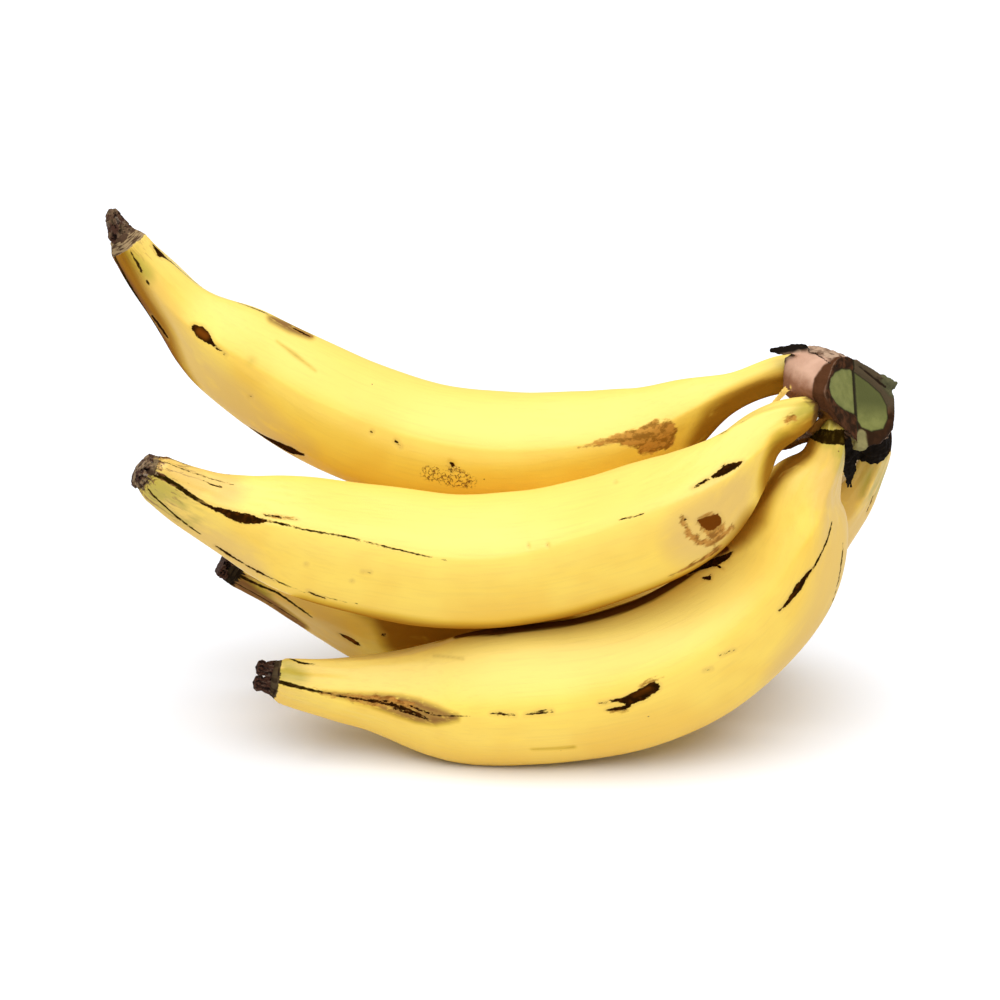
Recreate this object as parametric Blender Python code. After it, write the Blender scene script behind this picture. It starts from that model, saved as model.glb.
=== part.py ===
"""A hand of four plantains on one cut crown, lying on a flat surface.

Metres, +Z up. The origin is on the surface, under the middle of the hand.
+X runs from the fruits' tips towards the crown, and -Y is the front.
"""

import math

import bmesh
import bpy
import numpy as np
from mathutils import Vector

MM = 0.001

# Mesh fineness
SIDES = 30
RINGS = 32
BLOSSOM_SIDES = 14

# Peel: five faces, each at its own reach from the middle, that meet in ridges which are blunt
# on the belly and sharper towards both ends
FACE_REACH = (1.00, 0.97, 1.03, 0.98, 1.01)
SHARPNESS_MIDDLE = 5.0
SHARPNESS_ENDS = 9.0

# Angles round a fruit are counted from this direction, upwards on the side that faces the front.
FRONT = Vector((0.0, -0.914, 0.406))

# The blunt end of a fruit, as (distance past its last station, share of its radius)
TIP_STEPS = ((0.8, 0.93), (1.3, 0.78))
TIP_HEIGHT = 1.5
CLEARANCE = 0.3

# Each fruit from its neck to its tip, in millimetres: place of the middle, radius and,
# in degrees, where the ridge nearest the front lies.
FRUITS = {
    "upper_rear": (
        (110, 9, 131, 6, 0),
        (98, 13, 130, 6.6, 0),
        (81, 14, 123.5, 6.9, 0),
        (70, 16, 117.5, 10.4, 0),
        (50, 18, 106, 17, 0),
        (24, 20, 99, 20.5, 0),
        (-4, 21, 97, 22, 0),
        (-33, 21, 102, 22, 0),
        (-58, 20, 112, 21.7, 0),
        (-90, 20, 132, 18.8, -2),
        (-102.5, 20, 141.5, 15.9, -5),
        (-112.5, 20, 151.5, 11.3, -14),
        (-120, 20, 161, 9.4, -18),
        (-132, 20, 178, 6.6, -8),
    ),
    "middle_front": (
        (105.6, -10.4, 123.4, 6.7, -54),
        (99, -13, 123.5, 7.1, -44),
        (86, -18, 119, 9.2, -24),
        (79, -21, 112, 12.5, -8),
        (64, -24, 97, 19.5, 12),
        (39, -22, 83.5, 22.3, 11),
        (11, -18, 74, 23.4, 5),
        (-18, -18, 72, 23.8, 3),
        (-39, -19, 75, 23.4, 6),
        (-61, -21, 80, 22, 11),
        (-81, -24, 88, 18.7, 7),
        (-94, -26, 94, 14.2, 1),
        (-110, -29, 103, 10, 3),
        (-121, -31, 111, 7.6, 12),
    ),
    "lower_front": (
        (113, -6, 121, 4.4, -50),
        (112, -9, 117, 5, -50),
        (111, -10, 113, 6.2, -46),
        (109.5, -11, 107.5, 7.6, -38),
        (104, -12, 97.5, 13.6, -30),
        (100.5, -13, 84.5, 18.4, -10),
        (94.5, -16, 66, 21.8, 2),
        (76, -20, 46.5, 24.5, -2),
        (53, -24, 34, 25.8, -6),
        (28, -24, 26.6, 25.8, -12),
        (5, -24, 24.2, 25.5, -14),
        (-20, -24, 22.1, 22.2, -13),
        (-44, -26, 25, 14.6, -18),
        (-58, -27, 27, 11.6, -15),
        (-81, -29, 32, 7.7, -8),
    ),
    "lower_rear": (
        (127, 9, 117, 5.6, -25),
        (131, 13, 106, 5.9, -25),
        (129, 16, 92, 6.8, -25),
        (124, 19, 80, 9.2, -25),
        (112, 22, 64, 13.6, -25),
        (98, 26, 44, 20, -25),
        (73, 28, 28, 23, -25),
        (37, 28, 22.8, 23.4, -25),
        (1, 28, 22.8, 23.2, -25),
        (-28, 28, 23.5, 21, -25),
        (-51, 28, 27, 16.5, -25),
        (-66, 27, 32, 12, -25),
        (-84, 25, 40, 7.2, -25),
        (-101, 23, 50, 5.8, -25),
    ),
}

# Dried flower remnants, as (height, radius, lean), with lobes that stand out by a share of the radius
BLOSSOM_ENDS = {
    "upper_rear": dict(
        steps=((0, 3.4, 0), (1.2, 4.0, 0), (3.2, 3.5, 0.4), (5.6, 3.0, 1.0), (7.6, 2.0, 1.6)),
        top=(8.6, 1.9),
        lobes=3,
        depth=0.12,
    ),
    "middle_front": dict(
        steps=((0, 6.0, 0), (0.8, 5.6, -0.3), (1.6, 3.4, -1.6), (2.6, 2.4, -2.4)),
        top=(3.2, -2.6),
        lobes=5,
        depth=0.08,
    ),
    "lower_front": dict(
        steps=((0, 4.4, 0), (0.8, 4.4, 0), (2.0, 3.5, 0), (4.2, 3.8, 0), (5.6, 2.6, 0)),
        top=(6.2, 0),
        lobes=2,
        depth=0.34,
    ),
    "lower_rear": dict(
        steps=((0, 5.0, 0), (1.0, 5.2, 0), (2.2, 4.6, 0)),
        top=(2.4, 0),
        lobes=4,
        depth=0.1,
    ),
}

# Corners of the crown's chunk of stem, in millimetres
CROWN_CORNERS = (
    (96, 9, 139),
    (106, 13, 142),
    (113, -7, 142),
    (118.5, -2, 141.5),
    (128, 4.5, 135),
    (136, 9.5, 128),
    (137, 7.5, 121),
    (137, 4.5, 113),
    (134, 1, 109),
    (128, -7, 110),
    (120, -14.5, 117),
    (112, -17.5, 127),
    (108, -17.5, 134),
    (109, -15, 137),
    (99, -6, 131),
    (95, 1, 127),
    (104, 21, 130),
    (120, 18, 135),
    (123, 23, 120),
    (131, 18, 114),
    (114, 9, 112),
)
CROWN_VOXEL = 2.3
CROWN_SMOOTHING = 3

# The two strokes of the knife meet in a shallow valley: a point on its bottom edge, the way
# the cut faces, the way the edge runs, and the angle from CUT_NORMAL to each cut face
CUT_POINT = Vector((121, -3, 125))
CUT_NORMAL = Vector((0.70, -0.62, 0.36))
CUT_EDGE = Vector((-0.05, 0.47, 0.88))
CUT_HALF_ANGLE = 81.0
CUT_SIZE = 40.0

# Short green stump of a flower stalk, under the crown's cut
STUMP_START = Vector((122, -5, 117))
STUMP_END = Vector((122, -8, 109))
STUMP_RADIUS = 2.8


def clear_scene():
    for obj in list(bpy.data.objects):
        bpy.data.objects.remove(obj)


def material(name, color, roughness):
    made = bpy.data.materials.new(name)
    made.use_nodes = True
    shader = made.node_tree.nodes["Principled BSDF"]
    shader.inputs["Base Color"].default_value = (*color, 1.0)
    shader.inputs["Roughness"].default_value = roughness
    shader.inputs["Metallic"].default_value = 0.0
    return made


def add_object(name, mesh, look=None):
    obj = bpy.data.objects.new(name, mesh)
    bpy.context.scene.collection.objects.link(obj)
    if look:
        mesh.materials.append(look)
        mesh.shade_smooth()
    return obj


def as_helper(obj):
    obj.hide_render = True
    obj.display_type = "WIRE"
    return obj


def spline(knots, values, at):
    """Natural cubic spline through values at knots, read at each place in at."""
    count = len(knots)
    step = np.diff(knots)
    system = np.eye(count)
    slopes = np.diff(values, axis=0) / step[:, None]
    right = np.zeros_like(values)
    for i in range(1, count - 1):
        system[i, i - 1 : i + 2] = step[i - 1], 2 * (step[i - 1] + step[i]), step[i]
        right[i] = 6 * (slopes[i] - slopes[i - 1])
    bend = np.linalg.solve(system, right)
    low = np.clip(np.searchsorted(knots, at, side="right") - 1, 0, count - 2)
    width = step[low][:, None]
    after = (at - knots[low])[:, None]
    before = width - after
    return (
        (bend[low] * before**3 + bend[low + 1] * after**3) / (6 * width)
        + (values[low] / width - bend[low] * width / 6) * before
        + (values[low + 1] / width - bend[low + 1] * width / 6) * after
    )


def run_of(stations, count):
    """Even steps along a fruit: its middle line, its radius and its turn at each."""
    values = np.array(stations, float)
    gaps = np.linalg.norm(np.diff(values[:, :3], axis=0), axis=1)
    knots = np.concatenate(([0.0], np.cumsum(gaps)))
    read = spline(knots, values, np.linspace(0.0, knots[-1], count))
    return read[:, :3], read[:, 3], np.radians(read[:, 4])


def peel_section(angles, turn, sharpness):
    """Radius of the five-faced peel at each angle, with a mean of 1."""
    total = np.zeros_like(angles)
    for face, reach in enumerate(FACE_REACH):
        toward = turn + (face + 0.5) * math.tau / len(FACE_REACH)
        total += (np.maximum(0.0, np.cos(angles - toward)) / reach) ** sharpness
    radius = total ** (-1.0 / sharpness)
    return radius / radius.mean()


def frame_at(middle, index):
    """Directions along the fruit, to its front and to its upper side."""
    ahead = middle[min(index + 1, len(middle) - 1)] - middle[max(index - 1, 0)]
    along = Vector(ahead).normalized()
    front = (FRONT - along * FRONT.dot(along)).normalized()
    return along, front, along.cross(front)


def add_ring(mesh, centre, front, upper, angles, radii):
    return [
        mesh.verts.new((centre + (front * math.cos(a) + upper * math.sin(a)) * r) * MM)
        for a, r in zip(angles, radii)
    ]


def join_rings(mesh, rings, start, end):
    """Walls between each ring and the next, and a fan to a point at each end."""
    for near, far in zip(rings, rings[1:]):
        for i in range(len(near)):
            j = (i + 1) % len(near)
            mesh.faces.new((near[i], near[j], far[j], far[i]))
    first = mesh.verts.new(start * MM)
    last = mesh.verts.new(end * MM)
    for i in range(len(rings[0])):
        j = (i + 1) % len(rings[0])
        mesh.faces.new((rings[0][j], rings[0][i], first))
        mesh.faces.new((rings[-1][i], rings[-1][j], last))


def finish_mesh(mesh, name):
    bmesh.ops.recalc_face_normals(mesh, faces=mesh.faces)
    made = bpy.data.meshes.new(name)
    mesh.to_mesh(made)
    mesh.free()
    return made


def fruit_mesh(name, stations, grow=0.0):
    """One plantain as a loft of five-faced rings, flattened where it meets the surface."""
    middle, radius, turn = run_of(stations, RINGS)
    mesh = bmesh.new()
    angles = np.arange(SIDES) * math.tau / SIDES
    made = []
    for i in range(RINGS):
        along, front, upper = frame_at(middle, i)
        ends = (2.0 * i / (RINGS - 1) - 1.0) ** 2
        sharpness = SHARPNESS_MIDDLE + (SHARPNESS_ENDS - SHARPNESS_MIDDLE) * ends
        around = angles + turn[i]
        radii = radius[i] * peel_section(around, turn[i], sharpness) + grow
        back = along * grow if i == 0 else Vector()
        made.append(add_ring(mesh, Vector(middle[i]) - back, front, upper, around, radii))
    tip = Vector(middle[-1])
    for past, share in TIP_STEPS:
        made.append(add_ring(mesh, tip + along * past, front, upper, around, radii * share))
    start = Vector(middle[0]) - frame_at(middle, 0)[0] * grow
    join_rings(mesh, made, start, tip + along * TIP_HEIGHT)
    for vertex in mesh.verts:
        vertex.co.z = max(vertex.co.z, 0.0)
    return finish_mesh(mesh, name)


def blossom_mesh(name, stations, steps, top, lobes, depth):
    """The dried remnant on a fruit's tip, as a loft of lobed rings."""
    middle, _, _ = run_of(stations, RINGS)
    along, front, upper = frame_at(middle, RINGS - 1)
    base = Vector(middle[-1]) + along * (TIP_HEIGHT + CLEARANCE)
    angles = np.arange(BLOSSOM_SIDES) * math.tau / BLOSSOM_SIDES
    outline = 1.0 - depth * np.cos(lobes * angles)
    mesh = bmesh.new()
    made = [
        add_ring(mesh, base + along * height + upper * lean, front, upper, angles, outline * radius)
        for height, radius, lean in steps
    ]
    height, lean = top
    join_rings(mesh, made, base, base + along * height + upper * lean)
    return finish_mesh(mesh, name)


def hull_mesh(name, points):
    mesh = bmesh.new()
    corners = [mesh.verts.new(Vector(point) * MM) for point in points]
    result = bmesh.ops.convex_hull(mesh, input=corners)
    inner = [item for item in result["geom_interior"] if isinstance(item, bmesh.types.BMVert)]
    bmesh.ops.delete(mesh, geom=inner, context="VERTS")
    return finish_mesh(mesh, name)


def wedge_mesh(name):
    """A wide wedge whose edge is the valley between the two strokes of the knife."""
    out = CUT_NORMAL.normalized()
    edge = CUT_EDGE.normalized()
    side = edge.cross(out)
    half = math.radians(CUT_HALF_ANGLE)
    rise = out * math.cos(half) * CUT_SIZE
    spread = side * math.sin(half) * CUT_SIZE
    corners = []
    for end in (-CUT_SIZE, CUT_SIZE):
        foot = CUT_POINT + edge * end
        corners += [foot, foot + rise + spread, foot + rise - spread]
        corners += [foot + out * CUT_SIZE + spread, foot + out * CUT_SIZE - spread]
    return hull_mesh(name, corners)


def stump_mesh(name):
    along = (STUMP_END - STUMP_START).normalized()
    front = (FRONT - along * FRONT.dot(along)).normalized()
    upper = along.cross(front)
    angles = np.arange(BLOSSOM_SIDES) * math.tau / BLOSSOM_SIDES
    radii = np.full(BLOSSOM_SIDES, STUMP_RADIUS)
    mesh = bmesh.new()
    rings = [add_ring(mesh, end, front, upper, angles, radii) for end in (STUMP_START, STUMP_END)]
    join_rings(mesh, rings, STUMP_START, STUMP_END)
    return finish_mesh(mesh, name)


def add_boolean(obj, operation, other):
    change = obj.modifiers.new(f"{operation.lower()} {other.name}", "BOOLEAN")
    change.operation = operation
    change.object = other


def add_crown(look):
    """The crown: a rounded chunk of stem, cut on its outer side, with a seat for each neck."""
    crown = add_object("crown", hull_mesh("crown", CROWN_CORNERS), look)
    add_boolean(crown, "UNION", as_helper(add_object("stump", stump_mesh("stump"))))
    remesh = crown.modifiers.new("voxels", "REMESH")
    remesh.mode = "VOXEL"
    remesh.voxel_size = CROWN_VOXEL * MM
    remesh.use_smooth_shade = True
    smooth = crown.modifiers.new("smooth", "SMOOTH")
    smooth.iterations = CROWN_SMOOTHING
    add_boolean(crown, "DIFFERENCE", as_helper(add_object("knife", wedge_mesh("knife"))))
    for key, stations in FRUITS.items():
        seat = fruit_mesh(f"seat_{key}", stations, grow=CLEARANCE)
        add_boolean(crown, "DIFFERENCE", as_helper(add_object(seat.name, seat)))
    return crown


def build():
    clear_scene()
    peel = material("plantain peel", (0.86, 0.60, 0.12), 0.45)
    stem = material("cut crown", (0.30, 0.19, 0.13), 0.7)
    dried = material("dried blossom", (0.07, 0.045, 0.035), 0.9)
    for key, stations in FRUITS.items():
        add_object(f"finger_{key}", fruit_mesh(f"finger_{key}", stations), peel)
        name = f"blossom_end_{key}"
        add_object(name, blossom_mesh(name, stations, **BLOSSOM_ENDS[key]), dried)
    add_crown(stem)


build()
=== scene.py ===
# %% [markdown]
# # A hand of four plantains
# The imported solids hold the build: four fruits, the cut crown that joins them and a dried
# blossom end on each tip. This script gives every one of them the look of ripe, scarred fruit.
# Each piece is remade as a finer mesh in the place of its solid, so it stands for that solid
# and never leaves it. We start by loading the solids and noting the box that they fill.

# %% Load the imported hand
import math

import bmesh
import bpy
import numpy as np
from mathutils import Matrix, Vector, noise


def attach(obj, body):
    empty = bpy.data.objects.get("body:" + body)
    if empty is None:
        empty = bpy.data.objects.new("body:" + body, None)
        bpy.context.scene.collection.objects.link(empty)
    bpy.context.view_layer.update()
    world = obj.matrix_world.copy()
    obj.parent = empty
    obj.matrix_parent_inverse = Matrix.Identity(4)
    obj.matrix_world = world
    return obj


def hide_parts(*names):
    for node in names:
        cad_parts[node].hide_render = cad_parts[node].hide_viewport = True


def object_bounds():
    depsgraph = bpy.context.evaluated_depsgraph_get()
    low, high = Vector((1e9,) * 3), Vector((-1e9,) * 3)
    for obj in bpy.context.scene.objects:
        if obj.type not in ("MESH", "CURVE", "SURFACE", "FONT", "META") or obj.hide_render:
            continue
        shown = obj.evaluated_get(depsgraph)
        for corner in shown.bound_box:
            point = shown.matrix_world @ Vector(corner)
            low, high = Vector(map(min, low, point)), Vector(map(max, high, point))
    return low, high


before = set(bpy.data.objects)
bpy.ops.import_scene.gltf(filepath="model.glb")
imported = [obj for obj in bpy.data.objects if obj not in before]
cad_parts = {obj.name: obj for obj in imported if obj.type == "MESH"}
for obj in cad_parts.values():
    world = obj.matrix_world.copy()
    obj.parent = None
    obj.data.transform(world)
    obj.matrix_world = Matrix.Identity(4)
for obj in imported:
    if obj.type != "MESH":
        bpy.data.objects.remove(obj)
solid_box = [list(corner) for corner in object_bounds()]
MM = 0.001
print("solids:", sorted(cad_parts))

# %% [markdown]
# ## Camera
# The hand is seen from the front and a little above, with a long lens that keeps the fruits'
# ends in proportion. The camera looks at a point in the middle of the hand, so it is enough to
# give that point, the distance and how high the camera stands.

# %% Camera
VIEW_TARGET = Vector((-0.002, 0.003, 0.086))
VIEW_DISTANCE = 0.85
VIEW_ELEVATION = math.radians(24.0)
LENS = 86.4
SENSOR = 36.0


def add_object(name, data):
    made = bpy.data.objects.new(name, data)
    bpy.context.scene.collection.objects.link(made)
    return made


def add_camera():
    data = bpy.data.cameras.new("camera")
    data.lens = LENS
    data.sensor_width = SENSOR
    camera = add_object("camera", data)
    back = Vector((0.0, -math.cos(VIEW_ELEVATION), math.sin(VIEW_ELEVATION)))
    camera.location = VIEW_TARGET + back * VIEW_DISTANCE
    camera.rotation_euler = (math.pi / 2 - VIEW_ELEVATION, 0.0, 0.0)
    bpy.context.scene.camera = camera


add_camera()
print("camera", round(VIEW_DISTANCE * 1000), "mm from the hand")

# %% [markdown]
# ## Floor and light
# Ripe fruit is often shown on white paper under big soft lamps: the paper is so bright that
# it leaves only a faint shadow by the fruit. Here the world is white and a very wide sun
# stands in for the lamps above, because a sun lights the paper evenly to its far edge. The
# colours are shown without a film curve, so that bright yellow may burn out as it does there.

# %% Floor and light
FLOOR_SIZE = 12.0
FLOOR_COLOR = (0.89, 0.91, 0.96)
FLOOR_ROUGHNESS = 0.9
FLOOR_GLOSS = 0.1
WORLD_GLOW = 0.33
TOP_LIGHT = dict(toward=(-0.02, -0.30, 1.0), spread=72.0, strength=3.4)


def add_floor():
    mesh = bpy.data.meshes.new("floor")
    half = FLOOR_SIZE / 2
    corners = [(-half, -half, 0), (half, -half, 0), (half, half, 0), (-half, half, 0)]
    mesh.from_pydata(corners, [], [(0, 1, 2, 3)])
    floor = add_object("floor", mesh)
    paper = bpy.data.materials.new("white paper")
    paper.use_nodes = True
    shader = paper.node_tree.nodes["Principled BSDF"].inputs
    shader["Base Color"].default_value = (*FLOOR_COLOR, 1.0)
    shader["Roughness"].default_value = FLOOR_ROUGHNESS
    shader["Specular IOR Level"].default_value = FLOOR_GLOSS
    mesh.materials.append(paper)


def add_world():
    world = bpy.data.worlds.new("white room")
    world.use_nodes = True
    glow = world.node_tree.nodes["Background"].inputs
    glow["Color"].default_value = (1.0, 1.0, 1.0, 1.0)
    glow["Strength"].default_value = WORLD_GLOW
    bpy.context.scene.world = world


def add_top_light(toward, spread, strength):
    data = bpy.data.lights.new("top light", "SUN")
    data.angle = math.radians(spread)
    data.energy = strength
    lamp = add_object("top light", data)
    lamp.rotation_euler = Vector(toward).to_track_quat("Z", "Y").to_euler()


add_floor()
add_world()
add_top_light(**TOP_LIGHT)
bpy.context.scene.view_settings.view_transform = "Standard"

# %% [markdown]
# ## How a plantain is shaped
# A plantain is a bent five-sided tube that narrows to a neck and to a blunt tip. Its middle
# line, its radius and the turn of its ridges are given at some fourteen stations, from the neck
# to the tip, as x, y, z and radius in millimetres and the turn in degrees. A smooth curve is
# drawn through them. At each step of that line a five-sided ring is set up, whose corners are
# sharper near both ends. These are the solids' own stations, so that both shapes agree.

# %% Stations of the four fruits
FRUITS = {
    "upper_rear": (
        (110, 9, 131, 6, 0), (98, 13, 130, 6.6, 0), (81, 14, 123.5, 6.9, 0), (70, 16, 117.5, 10.4, 0),
        (50, 18, 106, 17, 0), (24, 20, 99, 20.5, 0), (-4, 21, 97, 22, 0), (-33, 21, 102, 22, 0),
        (-58, 20, 112, 21.7, 0), (-90, 20, 132, 18.8, -2), (-102.5, 20, 141.5, 15.9, -5),
        (-112.5, 20, 151.5, 11.3, -14), (-120, 20, 161, 9.4, -18), (-132, 20, 178, 6.6, -8),
    ),
    "middle_front": (
        (105.6, -10.4, 123.4, 6.7, -54), (99, -13, 123.5, 7.1, -44), (86, -18, 119, 9.2, -24),
        (79, -21, 112, 12.5, -8), (64, -24, 97, 19.5, 12), (39, -22, 83.5, 22.3, 11),
        (11, -18, 74, 23.4, 5), (-18, -18, 72, 23.8, 3), (-39, -19, 75, 23.4, 6),
        (-61, -21, 80, 22, 11), (-81, -24, 88, 18.7, 7), (-94, -26, 94, 14.2, 1),
        (-110, -29, 103, 10, 3), (-121, -31, 111, 7.6, 12),
    ),
    "lower_front": (
        (113, -6, 121, 4.4, -50), (112, -9, 117, 5, -50), (111, -10, 113, 6.2, -46),
        (109.5, -11, 107.5, 7.6, -38), (104, -12, 97.5, 13.6, -30), (100.5, -13, 84.5, 18.4, -10),
        (94.5, -16, 66, 21.8, 2), (76, -20, 46.5, 24.5, -2), (53, -24, 34, 25.8, -6),
        (28, -24, 26.6, 25.8, -12), (5, -24, 24.2, 25.5, -14), (-20, -24, 22.1, 22.2, -13),
        (-44, -26, 25, 14.6, -18), (-58, -27, 27, 11.6, -15), (-81, -29, 32, 7.7, -8),
    ),
    "lower_rear": (
        (127, 9, 117, 5.6, -25), (131, 13, 106, 5.9, -25), (129, 16, 92, 6.8, -25),
        (124, 19, 80, 9.2, -25), (112, 22, 64, 13.6, -25), (98, 26, 44, 20, -25), (73, 28, 28, 23, -25),
        (37, 28, 22.8, 23.4, -25), (1, 28, 22.8, 23.2, -25), (-28, 28, 23.5, 21, -25),
        (-51, 28, 27, 16.5, -25), (-66, 27, 32, 12, -25), (-84, 25, 40, 7.2, -25),
        (-101, 23, 50, 5.8, -25),
    ),
}
FACE_REACH = (1.00, 0.97, 1.03, 0.98, 1.01)
SHARPNESS_MIDDLE = 5.0
SHARPNESS_ENDS = 9.0
FRONT = np.array((0.0, -0.914, 0.406))
FULL_TURN = 2.0 * np.pi


def spline(knots, values, at):
    """Natural cubic spline through values at knots, read at each place in at."""
    count = len(knots)
    step = np.diff(knots)
    system = np.eye(count)
    slopes = np.diff(values, axis=0) / step[:, None]
    right = np.zeros_like(values)
    for i in range(1, count - 1):
        system[i, i - 1 : i + 2] = step[i - 1], 2 * (step[i - 1] + step[i]), step[i]
        right[i] = 6 * (slopes[i] - slopes[i - 1])
    bend = np.linalg.solve(system, right)
    low = np.clip(np.searchsorted(knots, at, side="right") - 1, 0, count - 2)
    width = step[low][:, None]
    after = (at - knots[low])[:, None]
    before = width - after
    return (
        (bend[low] * before**3 + bend[low + 1] * after**3) / (6 * width)
        + (values[low] / width - bend[low] * width / 6) * before
        + (values[low + 1] / width - bend[low + 1] * width / 6) * after
    )


def unit(rows):
    return rows / np.linalg.norm(rows, axis=-1, keepdims=True)


def crosswise(along):
    """Directions to the front and upwards, square to each direction in along."""
    front = unit(FRONT - along * (along @ FRONT)[..., None])
    return front, np.cross(along, front)


def outward(front, upper, angles):
    """Directions away from a middle line at angles counted from the front upwards."""
    return front * np.cos(angles)[..., None] + upper * np.sin(angles)[..., None]


def fruit_run(key, rings):
    """Even steps along a fruit: middle line, directions, radius, turn and millimetres run."""
    values = np.array(FRUITS[key], float)
    gaps = np.linalg.norm(np.diff(values[:, :3], axis=0), axis=1)
    knots = np.concatenate(([0.0], np.cumsum(gaps)))
    read = spline(knots, values, np.linspace(0.0, knots[-1], rings))
    middle = read[:, :3]
    along = unit(np.gradient(middle, axis=0))
    front, upper = crosswise(along)
    run = np.concatenate(([0.0], np.cumsum(np.linalg.norm(np.diff(middle, axis=0), axis=1))))
    return dict(
        middle=middle,
        along=along,
        front=front,
        upper=upper,
        radius=read[:, 3],
        turn=np.radians(read[:, 4]),
        run=run,
    )


def peel_section(angles, turn, sharpness):
    """Radius of the five-faced peel at each angle, with a mean of 1 round each ring."""
    total = np.zeros_like(angles)
    for face, reach in enumerate(FACE_REACH):
        toward = turn + (face + 0.5) * FULL_TURN / len(FACE_REACH)
        total += (np.maximum(0.0, np.cos(angles - toward)) / reach) ** sharpness
    radius = total ** (-1.0 / sharpness)
    return radius / radius.mean(axis=1, keepdims=True)


def fruit_sheet(key, rings, sides):
    """The fruit as a sheet of rings by sides: angles and radii, in radians and millimetres."""
    line = fruit_run(key, rings)
    turn = line["turn"][:, None]
    angles = np.arange(sides)[None, :] * FULL_TURN / sides + turn
    ends = (2.0 * np.arange(rings) / (rings - 1) - 1.0) ** 2
    sharpness = (SHARPNESS_MIDDLE + (SHARPNESS_ENDS - SHARPNESS_MIDDLE) * ends)[:, None]
    radii = line["radius"][:, None] * peel_section(angles, turn, sharpness)
    return line, angles, radii


for fruit in FRUITS:
    print(fruit, "is", round(fruit_run(fruit, 200)["run"][-1]), "mm long")

# %% [markdown]
# ## Marks on the peel
# A ripe plantain is rarely clean: its ridges rub against the next fruit and heal as dark
# scabs, sap leaves olive lines, and pressed spots turn brown. Each mark is a short line of
# points on the unrolled peel, as millimetres from the neck, degrees round from the front
# (upwards is more) and half its width in millimetres. Keeping them as distances, and not as
# colours, keeps their edges crisp on any mesh, because a shader can cut a distance sharply.

# %% Scabs: dark, crisp marks
SCABS = {
    "upper_rear": (
        ((241, -7, 1.0), (238.5, -5.5, 2.0), (236, -6, 1.7), (233, -7, 0.5), (227, -9, 0.12)),
        ((234, 70, 0.3), (227, 69, 0.5), (221, 69, 0.3)),
        ((211, 66, 0.2), (207, 66, 0.8), (204, 66, 0.3)),
        ((206, -74, 0.2), (200, -72, 1.1), (195, -70, 2.2), (190, -66, 2.2), (186, -62, 0.6)),
        ((271, 57, 0.4), (267.5, 53, 1.2), (264, 58, 0.3)),
        ((252, -76, 0.5), (248, -73, 0.9), (244, -68, 0.5)),
        ((278, 60, 0.2), (277, 40, 0.5), (277.5, 10, 0.15)), ((211.5, -34, 0.3),), ((169.7, -6, 0.4),),
        ((160.5, -7, 0.3), (159, -9, 0.3)), ((157.9, -11, 0.25),), ((138.5, -15, 0.3), (137, -18, 0.7)),
        ((137.5, -22, 0.4), (137, -25, 0.3)), ((134, -24, 0.3),),
    ),
    "middle_front": (
        ((236, 1, 0.2), (229, 1, 0.8), (223, 1, 1.6), (219, 2.5, 1.8), (215, 5, 1.0), (212, 8, 0.3)),
        ((214, 13, 0.3), (210, 15, 0.35), (203, 17, 0.1)),
        ((224, -61, 0.3), (218.5, -60, 0.6), (212.5, -57, 0.2)),
        ((212, -57, 0.3), (207, -55, 0.5), (202, -54, 0.15)),
        ((191, -50, 0.2), (188, -53, 0.5), (185, -53, 0.2)), ((195, -23, 0.3),),
        ((175, -18, 0.2), (172, -17, 0.2)), ((177.7, -29, 0.25),), ((111, 11, 0.25),),
        ((102.4, 9, 0.25),), ((48.5, 16, 0.2), (44, 14, 0.6), (42.5, 13, 0.3)),
        ((41, 11, 0.6), (37, 7, 1.6), (34, 0, 0.9), (32, -5, 0.2)), ((74.4, 60, 0.25),),
        ((29.5, 63, 0.3), (28, 62, 0.5)), ((23.5, 58, 0.4), (22, 58, 0.3)),
        ((53, -16, 0.4), (51.8, -23, 1.9), (50.6, -29, 2.7), (49.8, -33, 1.5)), ((56, -7, 0.5),),
    ),
    "lower_front": (
        ((172.5, -11.6, 0.2), (169, -12, 0.5), (164.4, -14, 0.3)),
        ((161, -14, 0.2), (156, -13, 0.6), (151.9, -13, 0.3)),
        ((134, -11, 0.2), (128.5, -11, 0.5), (125.5, -12.5, 0.9)),
        ((124.2, -13.5, 1.8), (120, -12, 2.2), (115.8, -9.5, 1.9)),
        ((132, -17.5, 0.2), (129, -18, 0.8), (126, -18.5, 0.9), (124, -18, 0.3)),
        ((99.9, -15, 0.2), (97.7, -16.5, 0.3)), ((92.7, -11, 0.2), (87, -14, 0.2)),
        ((84, 70, 0.5), (76, 68, 1.8), (69, 64, 2.2), (62, 61, 1.4), (57, 60, 0.3)),
        ((70, 62, 0.8), (69, 56, 0.6), (68, 52, 0.1)), ((79, 55, 0.6), (77, 52, 0.9), (75, 54, 0.3)),
        ((66, -16, 0.3), (61.8, -17, 0.9), (56.6, -18.5, 1.5), (52, -22, 0.8), (50.5, -25, 0.5)),
        ((233, -9, 0.1), (222, -10.5, 0.35), (212, -11.5, 0.5), (204, -14, 0.5), (197, -18, 0.2)),
        ((213, -8, 0.2), (206, -12, 0.35), (200, -18, 0.3)),
        ((209, -16, 0.2), (203, -17.5, 0.6), (197, -20, 0.3)),
        ((205, -8, 0.15), (198, -13, 0.35), (190, -14.5, 0.1)),
    ),
    "lower_rear": (
        ((251, -34, 0.3), (248, -35, 1.0), (244, -38, 1.2), (242.5, -39, 0.3)),
        ((235, -14, 0.4), (234, -14, 0.4)),
        ((12, 150, 4.5), (13, 70, 5.0), (13, 0, 5.5), (13, -60, 5.0), (12, -140, 4.5)),
        ((40, -76, 0.2), (34, -71, 0.3)),
    ),
}
print("scabs:", sum(len(marks) for marks in SCABS.values()))

# %% [markdown]
# Olive lines of old sap run along the ridges. They are thin, so they are kept apart from the
# scabs and get their own greenish colour.

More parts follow.
